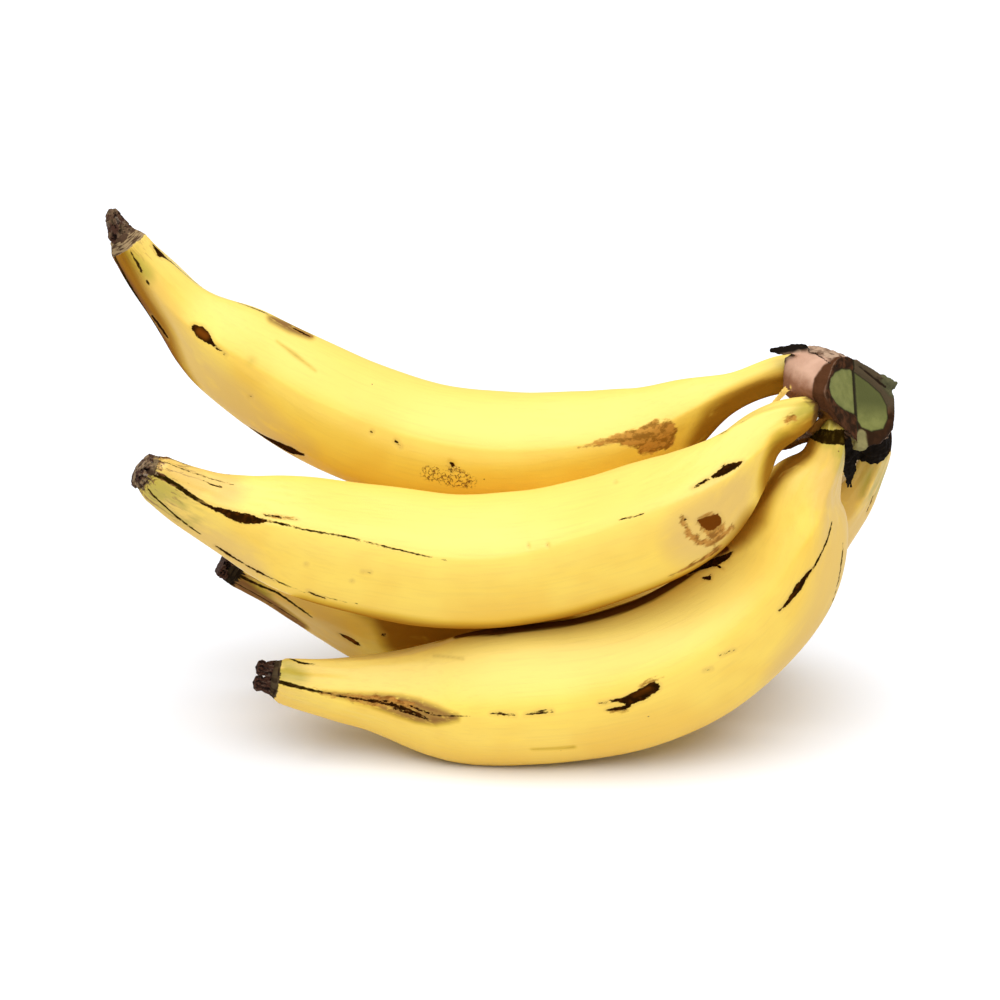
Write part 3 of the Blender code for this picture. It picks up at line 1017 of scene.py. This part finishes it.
def dried_ends(tree, place, color):
    """The neck's brown end, fibres that dried by the tip and the tip's collar."""
    threads = use_group(tree, fibres, Place=place, Fineness=1.0, Threshold=0.56, Softness=0.05)
    at_tip = times(tree, fade(tree, kept(tree, "from_tip"), 22.0, 1.0), kept(tree, "threads"))
    color = tint(tree, times(tree, threads, at_tip), color, STAIN_BROWN, 0.8)
    uneven = times(tree, cloud(tree, place, 0.35, 4.0), 5.0)
    neck = fade(tree, plus(tree, kept(tree, "from_neck"), uneven), 7.2, 3.6)
    color = tint(tree, neck, color, NECK_BROWN)
    rings = cloud(tree, drawn_out(tree, place, 9.0), 0.22, 3.0)
    tan = tint(tree, fade(tree, rings, 0.42, 0.56), COLLAR_BROWN, COLLAR_TAN)
    burnt = tint(tree, kept(tree, "char"), tan, CHAR)
    collar = ragged(tree, place, "collar", 6.0, 0.8, 0.4)
    return tint(tree, collar, color, burnt), collar


def make_peel():
    look, tree, shader, place = new_material("ripe plantain peel")
    color = soft_marks(tree, place, ripe_yellow(tree, place))
    dots = use_group(tree, specks, Place=place, Grain=0.2, Share=0.06, Size=0.075)
    color = tint(tree, dots, color, SCAB_BROWN, 0.8)
    color, marked = hard_marks(tree, place, color)
    color, collar = dried_ends(tree, place, color)
    feed(tree, shader["Base Color"], color)
    # Painted shade, the painted contact shade line and stains all make the peel dull.
    shade_and_stain = most(tree, kept(tree, "shade"), kept(tree, "stain"), kept(tree, "skin_fold_and_contact_shade"))
    shade_and_stain = calc(tree, "MULTIPLY", shade_and_stain, 3.0, clamp=True)
    dull = most(tree, marked, collar, shade_and_stain)
    rough = times(tree, dull, MARK_ROUGHNESS - PEEL_ROUGHNESS)
    feed(tree, shader["Roughness"], plus(tree, rough, PEEL_ROUGHNESS))
    gloss = times(tree, dull, MARK_GLOSS - PEEL_GLOSS)
    feed(tree, shader["Specular IOR Level"], plus(tree, gloss, PEEL_GLOSS))
    threads = use_group(tree, fibres, Place=place, Fineness=0.9, Threshold=0.5, Softness=0.2)
    grain = times(tree, cloud(tree, place, 1.6, 3.0), 0.25)
    height = plus(tree, grain, times(tree, threads, 0.15))
    height = minus(tree, height, times(tree, marked, 0.5))
    emboss(tree, shader, 0.5, height)
    return look


peel = make_peel()
for fruit in FRUITS:
    made = add_fruit(fruit, peel)
    print(made.name, len(made.data.polygons), "faces")
print("peel nodes:", len(peel.node_tree.nodes))

# %% [markdown]
# ## Dried flowers on the tips
# The flower that the fruit grew from dries on its tip to a dark, fibrous nub. Each of the four
# is different: a ribbed cone, a flat ragged cap, two knobs and a torn stump. They are lofted
# from the solids' own steps, with many more rings, and deep noise that runs along the fibres
# breaks them up.

# %% Shapes of the dried flowers
BLOSSOM_ENDS = {
    "upper_rear": dict(
        steps=((0, 4.4, 0), (1.2, 4.2, 0), (3.2, 3.4, 0.6), (5.6, 3.0, 1.2), (7.6, 2.2, 1.7)),
        top=(8.6, 1.9),
        lobes=3,
        depth=0.12,
        knobs=(0.0,),
        pale=0.35,
    ),
    "middle_front": dict(
        steps=((0, 6.4, 0), (0.6, 6.0, 0), (1.3, 4.8, -0.2), (1.9, 3.0, -0.4)),
        top=(2.1, -0.5),
        lobes=5,
        depth=0.05,
        knobs=(0.0,),
        pale=0.8,
    ),
    "lower_front": dict(
        steps=((0, 3.5, 0), (0.9, 2.9, 0), (2.2, 2.4, 0), (3.8, 2.9, 0), (5.0, 2.2, 0)),
        top=(5.7, 0),
        lobes=3,
        depth=0.1,
        knobs=(-2.8, 2.6),
        pale=0.0,
    ),
    "lower_rear": dict(
        steps=((0, 5.2, 0), (1.0, 5.6, 0), (2.2, 5.0, 0)),
        top=(2.4, 0),
        lobes=4,
        depth=0.1,
        knobs=(0.0,),
        pale=0.0,
    ),
}
SOLID_RINGS = 32
TIP_HEIGHT = 1.5
SOLID_GAP = 0.3
NUB_RINGS = 90
NUB_SIDES = 120
NUB_SINK = 1.4
NUB_SCALE = np.array((0.25, 0.9, 0.9))
NUB_FINE_SCALE = 1.7
NUB_WIDTH = 0.92
NUB_ROUGHNESS = 0.525
NUB_DEEPEST = -0.3
NUB_HIGHEST = 0.08
KNOB_SPACING = 20.0


def nub_heights(steps, top):
    """Height, radius and lean along a nub, from inside the fruit to its top."""
    rows = np.array([(-NUB_SINK, steps[0][1], 0), *steps[1:], (top[0], 0.2, top[1])], float)
    knots = np.concatenate(([0.0], np.cumsum(np.hypot(*np.diff(rows[:, :2], axis=0).T))))
    read = np.linspace(0.0, knots[-1], NUB_RINGS)
    return [np.interp(read, knots, rows[:, i]) for i in range(3)]


def add_nub(key, look):
    shape = BLOSSOM_ENDS[key]
    before, tip = fruit_run(key, SOLID_RINGS)["middle"][-2:]
    along = unit(tip - before)
    front, upper = crosswise(along)
    height, radius, lean = nub_heights(shape["steps"], shape["top"])
    angles = np.arange(NUB_SIDES) * FULL_TURN / NUB_SIDES
    outline = 1.0 - shape["depth"] * np.cos(shape["lobes"] * angles)
    radii = radius[:, None] * outline
    rise = np.broadcast_to(height[:, None], radii.shape)
    place = np.stack((rise, radii * np.cos(angles), radii * np.sin(angles)), axis=-1)
    rough = rough_bumps(place, NUB_SCALE, NUB_FINE_SCALE)
    radii = radii * (NUB_WIDTH + np.clip(rough * NUB_ROUGHNESS, NUB_DEEPEST, NUB_HIGHEST))
    base = tip + along * (TIP_HEIGHT + SOLID_GAP)
    for number, offset in enumerate(shape["knobs"]):
        centres = base + along * height[:, None] + upper * (lean[:, None] + offset)
        sheet = centres[:, None] + outward(front, upper, angles) * radii[..., None]
        name = f"nub_{key}" if number == 0 else f"nub_{key}_{number + 1}"
        mesh = mesh_from_sheet(name, inside_box(sheet), centres[0], centres[-1])
        keep_values(mesh, "place", on_every_point(place) + KNOB_SPACING * number)
        keep_values(mesh, "bump", on_every_point(rough))
        keep_values(mesh, "pale", np.full(len(mesh.vertices), shape["pale"]))
        made = dress(add_object(name, mesh), f"blossom_end_{key}", look)
    return made


print("nubs:", sum(len(shape["knobs"]) for shape in BLOSSOM_ENDS.values()))

# %% [markdown]
# Their material is nearly black in the cracks and grey-brown on the raised fibres, and quite
# dull. The height of the noise that shaped the mesh is kept on it, so the colour follows it.

# %% Dried flower material
NUB_DARK = (0.014, 0.005, 0.003)
NUB_BROWN = (0.055, 0.022, 0.012)
NUB_GREY = (0.34, 0.27, 0.20)
NUB_TAN = (0.30, 0.20, 0.105)


def make_dried_flower():
    look, tree, shader, place = new_material("dried flower")
    color = tint(tree, fade(tree, kept(tree, "bump"), -0.3, 0.15), NUB_DARK, NUB_BROWN)
    patches = fade(tree, cloud(tree, place, 0.45, 3.0), 0.42, 0.6)
    color = tint(tree, times(tree, kept(tree, "pale"), patches), color, NUB_TAN)
    threads = use_group(tree, fibres, Place=place, Fineness=1.6, Threshold=0.56)
    paler = plus(tree, times(tree, kept(tree, "pale"), 0.6), 0.2)
    color = tint(tree, times(tree, threads, paler), color, NUB_GREY)
    feed(tree, shader["Base Color"], color)
    feed(tree, shader["Roughness"], 0.85)
    feed(tree, shader["Specular IOR Level"], 0.15)
    emboss(tree, shader, 0.8, cloud(tree, place, 3.0, 4.0))
    return look


dried_flower = make_dried_flower()
for fruit in FRUITS:
    made = add_nub(fruit, dried_flower)
    print(made.name, len(made.data.polygons), "faces")

# %% [markdown]
# ## The cut crown
# The crown is a chunk of the stem that all four necks grow from. A knife took it off the stem
# in two strokes that meet in a crease, and left two pale green faces inside a purple-brown
# rim. The chunk is built as the solid is, from its corners, a stump and a wedge for the
# knife, but its skin is made of far smaller voxels, which leave points enough to shape. Rags
# of old skin hang from it: a flap over the upper fruit, a torn corner, a web and a sliver by
# the middle fruit's neck, a fold behind the front one and a black sleeve round the rear one's.

# %% Chunk, stump and knife
CROWN_CORNERS = (
    (96, 9, 139), (106, 13, 142), (113, -7, 142), (118.5, -2, 141.5), (128, 4.5, 135), (136, 9.5, 128),
    (137, 7.5, 121), (137, 4.5, 113), (134, 1, 109), (128, -7, 110), (120, -14.5, 117),
    (112, -17.5, 127), (108, -17.5, 134), (109, -15, 137), (99, -6, 131), (95, 1, 127), (104, 21, 130),
    (120, 18, 135), (123, 23, 120), (131, 18, 114), (114, 9, 112),
)
CUT_POINT = np.array((121.0, -3.0, 125.0))
CUT_NORMAL = unit(np.array((0.70, -0.62, 0.36)))
CUT_EDGE = unit(np.array((-0.05, 0.47, 0.88)))
CUT_SIDE = np.cross(CUT_EDGE, CUT_NORMAL)
CUT_HALF_ANGLE = math.radians(81.0)
CUT_SIZE = 40.0
STUMP_START = (122, -5, 117)
STUMP_END = (122, -8, 109)
STUMP_RADIUS = 2.8
SKIN_VOXEL = 0.5
COARSE_VOXEL = 2.0
RAG_CORNERS = {
    "flap": (
        (91.8, 8, 140.9), (91.8, 9, 140), (92, 7, 139.8), (97, 8.5, 142.2), (105, 9.5, 143),
        (105, 5, 142.4), (98.5, 4.5, 140.4), (95, 6, 139.8), (104, 3, 140.2),
    ),
    "torn corner": (
        (129, 6, 132.4), (133.2, 8.5, 130.2), (136.9, 9.6, 128), (135.4, 9, 126.4), (136.9, 9.6, 125),
        (132, 10, 124), (130, 11, 128),
    ),
    "web": (
        (111.5, -9, 121.5), (107.5, -9.5, 121), (109.5, -5, 121.5), (103.8, -5.5, 118.8),
        (98.7, -5.5, 115.8), (92.7, -5, 111.1), (91.5, -4.5, 106.5), (95.2, -3.5, 106.8),
        (103.5, -3.5, 112), (108.6, -5, 112.2), (109.5, -1.5, 118.5), (101, -2, 114.5),
        (107, -14.8, 124.2), (104.5, -13, 118),
    ),
    "skin_fold_and_contact_shade": (
        (118, 0, 112), (125, 4, 110), (118, 8, 111), (125, 11, 109), (118.4, 3, 98), (122.6, 7, 98),
        (121.2, 7, 88.5), (123, 9.5, 88.5), (121, 10, 97),
    ),
    "sliver": (
        (96.5, -1.5, 132.4), (98.5, -4, 130), (94.5, -6.5, 131), (94.5, -8, 127.8),
        (89.6, -11.2, 128.2), (90, -12.4, 127.2), (91.6, -10.4, 126.5),
    ),
}
SLEEVE_RINGS = (((128.2, 10.5, 112.5), 7.0), ((129.2, 12.6, 105), 7.6), ((128.8, 13.8, 100.5), 7.4))
SLEEVE_AXIS = (-0.05, 0.35, -0.93)
ROUND_SIDES = 16


def hull_object(name, points):
    mesh = bmesh.new()
    corners = [mesh.verts.new(Vector(point) * MM) for point in points]
    result = bmesh.ops.convex_hull(mesh, input=corners)
    inner = [item for item in result["geom_interior"] if isinstance(item, bmesh.types.BMVert)]
    bmesh.ops.delete(mesh, geom=inner, context="VERTS")
    bmesh.ops.recalc_face_normals(mesh, faces=mesh.faces)
    data = bpy.data.meshes.new(name)
    mesh.to_mesh(data)
    mesh.free()
    return add_object(name, data)


def knife_corners():
    rise = CUT_NORMAL * math.cos(CUT_HALF_ANGLE) * CUT_SIZE
    spread = CUT_SIDE * math.sin(CUT_HALF_ANGLE) * CUT_SIZE
    corners = []
    for end in (-CUT_SIZE, CUT_SIZE):
        foot = CUT_POINT + CUT_EDGE * end
        corners += [foot, foot + rise + spread, foot + rise - spread]
        corners += [foot + CUT_NORMAL * CUT_SIZE + spread, foot + CUT_NORMAL * CUT_SIZE - spread]
    return corners


def round_corners(rings, along):
    """Corners on rings, given as centre and radius, that are square to one direction."""
    front, upper = crosswise(unit(np.array(along, float)))
    ring = outward(front, upper, np.arange(ROUND_SIDES) * FULL_TURN / ROUND_SIDES)
    return np.concatenate([centre + ring * radius for centre, radius in rings])


def settle(obj):
    """Works all of the object's modifiers into its mesh."""
    bpy.context.view_layer.update()
    graph = bpy.context.evaluated_depsgraph_get()
    mesh = bpy.data.meshes.new_from_object(obj.evaluated_get(graph))
    obj.modifiers.clear()
    obj.data = mesh


def add_modifier(obj, kind, **settings):
    change = obj.modifiers.new(kind.lower(), kind)
    for name, value in settings.items():
        setattr(change, name, value)


def join_all(chunk, parts):
    """Puts the parts' faces into the chunk's mesh; the next remesh makes one skin of them."""
    mesh = bmesh.new()
    mesh.from_mesh(chunk.data)
    for part in parts:
        mesh.from_mesh(part.data)
        bpy.data.objects.remove(part)
    mesh.to_mesh(chunk.data)
    mesh.free()


def drop_crumbs(data):
    """Keeps only the largest connected part of the mesh."""
    mesh = bmesh.new()
    mesh.from_mesh(data)
    left = set(mesh.verts)
    parts = []
    while left:
        rim = {left.pop()}
        part = []
        while rim:
            part += rim
            rim = {link.other_vert(vert) for vert in rim for link in vert.link_edges} & left
            left -= rim
        parts.append(part)
    parts.sort(key=len)
    for part in parts[:-1]:
        bmesh.ops.delete(mesh, geom=part, context="VERTS")
    mesh.to_mesh(data)
    mesh.free()


def crown_chunk():
    chunk = hull_object("crown_cut", CROWN_CORNERS)
    ends = ((STUMP_START, STUMP_RADIUS), (STUMP_END, STUMP_RADIUS))
    stump = hull_object("stump", round_corners(ends, np.subtract(STUMP_END, STUMP_START)))
    knife = hull_object("knife", knife_corners())
    add_modifier(chunk, "BOOLEAN", operation="UNION", object=stump)
    add_modifier(chunk, "REMESH", mode="VOXEL", voxel_size=COARSE_VOXEL * MM)
    add_modifier(chunk, "SMOOTH", iterations=2)
    add_modifier(chunk, "BOOLEAN", operation="DIFFERENCE", object=knife)
    settle(chunk)
    rags = [hull_object(name, corners) for name, corners in RAG_CORNERS.items()]
    rags.append(hull_object("sleeve", round_corners(SLEEVE_RINGS, SLEEVE_AXIS)))
    join_all(chunk, rags)
    add_modifier(chunk, "REMESH", mode="VOXEL", voxel_size=SKIN_VOXEL * MM)
    settle(chunk)
    drop_crumbs(chunk.data)
    for helper in (stump, knife):
        bpy.data.objects.remove(helper)
    return chunk


crown = crown_chunk()
print("crown:", len(crown.data.vertices), "points")

# %% [markdown]
# Every point of the crown learns where it lies: how far it is from the knife's two faces and,
# on them, how far inside the green flesh. The green outlines are drawn on each face as
# millimetres along the crease and out from it.

# %% The green flesh
LEFT_FLESH = (
    (11.6, 0.3), (12.3, 2.0), (11.9, 8.0), (10.4, 12.8), (8.0, 16.4), (4.8, 17.8), (1.6, 16.6),
    (-1.0, 13.0), (-2.8, 7.5), (-3.9, 0.3),
)
RIGHT_FLESH = (
    (11.4, 0.3), (8.0, 7.0), (4.2, 12.6), (0.0, 15.4), (-4.8, 15.6), (-8.6, 13.0), (-9.6, 7.0),
    (-8.4, 2.4), (-5.8, 0.4),
)


def outline_distance(along, out, outline):
    """Millimetres to a closed outline, below 0 inside it."""
    corners = np.array(outline, float)
    nearest = np.full(along.shape, FAR * 10)
    inside = np.zeros(along.shape, bool)
    for (a0, b0), (a1, b1) in zip(corners, np.roll(corners, -1, axis=0)):
        square = (a1 - a0) ** 2 + (b1 - b0) ** 2
        share = ((along - a0) * (a1 - a0) + (out - b0) * (b1 - b0)) / square
        share = np.clip(share, 0.0, 1.0)
        gap = np.hypot(along - a0 - share * (a1 - a0), out - b0 - share * (b1 - b0))
        nearest = np.minimum(nearest, gap)
        crosses = (b0 > out) != (b1 > out)
        slope = (a1 - a0) / (b1 - b0) if b1 != b0 else 0.0
        inside ^= crosses & (along < a0 + (out - b0) * slope)
    return np.where(inside, -nearest, nearest)


def cut_places(points):
    """For each point: height over the nearest cut face, place along and out, and its side."""
    from_crease = points - CUT_POINT
    along = from_crease @ CUT_EDGE
    side = from_crease @ CUT_SIDE
    up = from_crease @ CUT_NORMAL
    out = np.abs(side) * math.sin(CUT_HALF_ANGLE) + up * math.cos(CUT_HALF_ANGLE)
    height = up * math.sin(CUT_HALF_ANGLE) - np.abs(side) * math.cos(CUT_HALF_ANGLE)
    return height, along, out, side


print("outlines:", len(LEFT_FLESH), "and", len(RIGHT_FLESH), "corners")

# %% [markdown]
# The cut faces stay flat and everything else is roughened. The smooth base of the upper fruit
# shows on the left as a round lobe, and the flesh stands a little below its rim. Cracks, a
# seam and the rags are lines in space, so each point also learns how far it is from them. A
# fourth number at a line's corner is how thick the line is there.

# %% Shaping the crown
FLAT_REACH = 0.45
FLAT_SLOPE = 0.4
SKIN_ROUGHNESS = 0.7
SKIN_SCALE = np.array((0.16, 0.35, 0.35))
SKIN_FINE_SCALE = 0.8
SKIN_SINK = 0.4
RAG_ROUGHNESS = 1.0
CUT_SINK = 0.12
FLESH_SINK = 0.5
FLESH_SLOPE = 0.8
SEAM_RISE = 0.45
SEAM_SLOPE = 0.9
CRACK_SINK = 0.5
CRACK_SLOPE = 0.8
LOBE_CENTRE = np.array((101.0, -5.0, 134.5))
LOBE_RADIUS = 11.0
LOBE_FADE = 2.0
LOBE_SMOOTHNESS = 0.85
LAYER_SCALES = (-1.1, 0.1, 0.1)
BAND_LINE = (
    (117.0, 0.0, 140.5, 1.8), (111.0, -6.5, 139.8, 2.4), (107.6, -10.5, 136.5, 2.6),
    (107.3, -13.0, 131.5, 2.8), (110.5, -14.6, 126.5, 2.4), (114.8, -13.4, 121.5, 2.2),
)
SLIVER_LINE = ((96.8, -3.0, 131.2, 1.0), (93.8, -7.0, 129.0, 1.6), (90.0, -11.5, 127.4, 1.6))
SEAM = ((104.9, -11.4, 134.5), (109.6, -15.0, 127.5), (114.2, -13.7, 121.8), (118.5, -11.9, 117.6))
CRACKS = (
    ((102.0, 8.0, 141.5), (106.8, 4.3, 141.4), (110.8, -4.9, 141.1)),
    ((106.0, 9.0, 143.0), (117.0, 0.4, 140.8), (123.5, 4.9, 135.4), (132.7, 7.6, 127.0)),
    ((113.0, -6.0, 140.0), (118.0, -2.0, 139.0)),
)
BLACK_RAGS = (
    ((91.0, 8.0, 140.2, 1.0), (98.0, 7.0, 141.5, 1.6), (104.0, 7.5, 142.6, 1.6)),
    ((129.0, 11.0, 110.0, 7.0), (129.0, 13.5, 102.0, 9.0)),
    ((121.5, 5.0, 108.0, 5.0), (121.5, 7.0, 98.0, 5.0), (124.5, 9.0, 89.0, 4.0)),
)
WEB_LINE = (
    (107.0, -11.0, 121.5, 4.0), (108.0, -4.0, 116.5, 4.0), (100.0, -4.0, 114.0, 4.0),
    (92.5, -4.5, 107.5, 4.0),
)
STUB_LINE = ((122.0, -6.0, 114.0, 2.6), (122.0, -8.0, 108.5, 3.4))
TORN_LINE = ((133.5, 9.0, 129.0, 2.5), (135.5, 9.5, 126.0, 2.5))
SOFT_LINES = {
    "black": (BLACK_RAGS, 1.2),
    "web": ((WEB_LINE,), 1.5),
    "torn": ((TORN_LINE,), 1.5),
    "stub": ((STUB_LINE,), 0.6),
    "band": ((BAND_LINE,), 1.0),
    "sliver": ((SLIVER_LINE,), 0.5),
}


def line_distance(points, line):
    """Millimetres from each point to a chain of places, less the chain's own radius there."""
    nearest = np.full(len(points), FAR * 10)
    rows = np.array([(*corner, 0.0)[:4] for corner in line], float)
    for start, end in zip(rows, rows[1:]):
        along = end[:3] - start[:3]
        share = np.clip((points - start[:3]) @ along / (along @ along), 0.0, 1.0)
        gap = np.linalg.norm(points - start[:3] - share[:, None] * along, axis=1)
        nearest = np.minimum(nearest, gap - start[3] - (end[3] - start[3]) * share)
    return nearest


def nearest_line(points, lines):
    return np.min([line_distance(points, line) for line in lines], axis=0)


def read_rows(source, field):
    """Three numbers for each point, read from a mesh."""
    rows = np.empty(len(source) * 3, np.float32)
    source.foreach_get(field, rows)
    return rows.reshape(-1, 3).astype(float)


def crown_values(points):
    """Where each point of the crown lies, under the names that its material reads."""
    height, along, out, side = cut_places(points)
    values = dict(crease=np.abs(side), right=(side > 0) * 1.0, along=along)
    for name, (lines, softness) in SOFT_LINES.items():
        values[name] = soft_share(nearest_line(points, lines), softness)
    skin = 1.0 - np.maximum(values["black"], values["torn"])
    cut = np.clip(1.0 - (np.abs(height) - FLAT_REACH) / FLAT_SLOPE, 0.0, 1.0)
    cut = cut * skin * (1.0 - values["stub"])
    left, right = (outline_distance(along, out, flesh) for flesh in (LEFT_FLESH, RIGHT_FLESH))
    flesh = np.where(cut > 0.5, np.where(side < 0, left, right), FAR)
    lobe = soft_share(np.linalg.norm(points - LOBE_CENTRE, axis=1) - LOBE_RADIUS, LOBE_FADE)
    lobe = lobe * (1.0 - cut) * skin * (1.0 - values["band"])
    values["band"] = values["band"] * (1.0 - cut)
    values.update(skin=skin, cut=cut, flesh=flesh, lobe=lobe)
    values.update(seam=line_distance(points, SEAM), crack=nearest_line(points, CRACKS))
    values["layers"] = np.stack((height, along, side), axis=-1) * LAYER_SCALES
    return values


def crown_relief(points, at, skin):
    """How far each point of the crown moves out, in millimetres."""
    rough = rough_bumps(points, SKIN_SCALE, SKIN_FINE_SCALE)
    amount = RAG_ROUGHNESS + (SKIN_ROUGHNESS - RAG_ROUGHNESS) * skin
    move = rough * amount * (1.0 - LOBE_SMOOTHNESS * at["lobe"]) - SKIN_SINK * skin
    move = move * (1.0 - at["cut"])
    move = move - at["cut"] * (CUT_SINK + soft_share(at["flesh"], FLESH_SLOPE) * FLESH_SINK)
    move = move + SEAM_RISE * soft_share(at["seam"], SEAM_SLOPE)
    return move - CRACK_SINK * soft_share(at["crack"], CRACK_SLOPE)


def shape_crown(mesh):
    points = read_rows(mesh.vertices, "co") / MM
    values = crown_values(points)
    move = crown_relief(points, values, values.pop("skin"))
    points = inside_box(points + read_rows(mesh.vertex_normals, "vector") * move[:, None])
    mesh.vertices.foreach_set("co", (points * MM).astype(np.float32).reshape(-1))
    mesh.update()
    mesh.shade_smooth()
    values.update(place=points, level=points[:, 2])
    for name, rows in values.items():
        keep_values(mesh, name, rows)


shape_crown(crown.data)
print("crown:", len(crown.data.polygons), "faces")

# %% [markdown]
# The crown's material reads those places. The flesh is pale green with fine streaks and a
# dark edge, with painted shade on the right face that grows towards its top, and the rim round
# it is purple-brown. Below the rim the skin lies in thin dark layers with pale torn edges, the
# top is pale dry skin, and the lobe on the left is a smooth pinkish tan with painted shade
# towards its lower part.

# %% Crown material
FLESH_GREEN = (0.215, 0.220, 0.065)
FLESH_SHADED = (0.085, 0.090, 0.028)
# Colour of the painted shade on the right cut face.
FLESH_DEEP = (0.12, 0.13, 0.035)
FLESH_EDGE = (0.020, 0.018, 0.008)
RIM_PURPLE = (0.082, 0.031, 0.012)
RIM_DARK = (0.026, 0.011, 0.004)
RIM_GREEN = (0.085, 0.062, 0.034)
SKIN_PALE = (0.46, 0.31, 0.21)
SKIN_BROWN = (0.13, 0.070, 0.040)
SKIN_DARK = (0.022, 0.012, 0.006)
SKIN_EDGE = (0.36, 0.28, 0.19)
LOBE_TAN = (0.63, 0.39, 0.275)
# The lobe's blush, and its painted shade towards the bottom.
LOBE_SHADED = (0.26, 0.115, 0.062)
WEB_BROWN = (0.16, 0.062, 0.008)
TORN_GREEN = (0.10, 0.095, 0.045)
STUB_GREEN = (0.24, 0.21, 0.085)
SLIVER_YELLOW = (0.72, 0.48, 0.12)


def crown_skin(tree, place):
    """Pale on top; below the rim dark layers with pale edges."""
    waves = cloud(tree, kept(tree, "layers", "Vector"), 1.0, 4.0, 0.6)
    low = tint(tree, fade(tree, waves, 0.40, 0.56), SKIN_DARK, SKIN_BROWN)
    edge = calc(tree, "ABSOLUTE", minus(tree, waves, 0.60))
    low = tint(tree, fade(tree, edge, 0.012, 0.004), low, SKIN_EDGE)
    dry = fade(tree, cloud(tree, place, 0.35, 4.0), 0.42, 0.68)
    top = tint(tree, dry, SKIN_PALE, SKIN_BROWN)
    return tint(tree, fade(tree, kept(tree, "level"), 136.5, 139.0), low, top)


def cut_face(tree, place):
    """The rim and, inside it, the flesh on the knife's two faces."""
    right = kept(tree, "right")
    along = kept(tree, "along")
    patches = fade(tree, cloud(tree, place, 0.35, 4.0), 0.34, 0.6)
    rim = tint(tree, patches, RIM_PURPLE, RIM_DARK)
    upper_right = times(tree, right, fade(tree, along, -4.0, 1.0))
    rim = tint(tree, upper_right, rim, RIM_GREEN, 0.85)
    lower_right = times(tree, right, fade(tree, along, -3.0, -7.0))
    rim = tint(tree, lower_right, rim, RIM_DARK, 0.8)
    distance = kept(tree, "flesh")
    edge = ragged(tree, place, distance, 0.7, 0.5)
    inner = ragged(tree, place, plus(tree, distance, 0.45), 0.7, 0.5, 0.4)
    streaks = fade(tree, cloud(tree, drawn_out(tree, place, 0.3), 0.3, 3.0), 0.35, 0.7)
    green = tint(tree, streaks, FLESH_GREEN, FLESH_DEEP, 0.5)
    # Painted shade: the right face darkens towards its top.
    shaded = times(tree, right, fade(tree, along, -7.5, 2.0))
    green = tint(tree, shaded, green, FLESH_SHADED, 0.95)
    near_edge = minus(tree, 1.0, fade(tree, distance, 0.0, -2.5))
    green = tint(tree, near_edge, green, FLESH_DEEP, 0.3)
    face = tint(tree, edge, rim, FLESH_EDGE, 0.8)
    face = tint(tree, inner, face, green)
    crease = fade(tree, kept(tree, "crease"), 0.45, 0.2)
    return tint(tree, crease, face, FLESH_EDGE), inner


def make_crown_look():
    look, tree, shader, place = new_material("cut crown")
    color = crown_skin(tree, place)
    blush = fade(tree, cloud(tree, place, 0.16, 2.0), 0.35, 0.7)
    smooth = tint(tree, blush, LOBE_TAN, LOBE_SHADED, 0.25)
    wander = times(tree, cloud(tree, place, 0.3, 3.0), 4.0)
    # Painted shade: the lobe darkens towards its lower part.
    low = fade(tree, plus(tree, kept(tree, "level"), wander), 139.5, 134.0)
    color = tint(tree, kept(tree, "lobe"), color, tint(tree, low, smooth, LOBE_SHADED))
    face, flesh = cut_face(tree, place)
    color = tint(tree, kept(tree, "cut"), color, face)
    rags = dict(band=RIM_PURPLE, web=WEB_BROWN, torn=TORN_GREEN, stub=STUB_GREEN, sliver=SLIVER_YELLOW)
    for name, shade in rags.items():
        color = tint(tree, kept(tree, name), color, shade)
    color = tint(tree, kept(tree, "black"), color, CHAR)
    seam = ragged(tree, place, "seam", 1.2, 0.5)
    color = tint(tree, seam, color, SKIN_EDGE, 0.7)
    narrow = minus(tree, kept(tree, "crack"), 0.35)
    crack = ragged(tree, place, narrow, 0.9, 0.5)
    color = tint(tree, crack, color, SKIN_DARK)
    feed(tree, shader["Base Color"], color)
    feed(tree, shader["Roughness"], minus(tree, 0.8, times(tree, flesh, 0.3)))
    feed(tree, shader["Specular IOR Level"], 0.05)
    emboss(tree, shader, 0.5, cloud(tree, place, 1.2, 5.0))
    return look


dress(crown, "crown", make_crown_look())
print("crown nodes:", len(crown.active_material.node_tree.nodes))
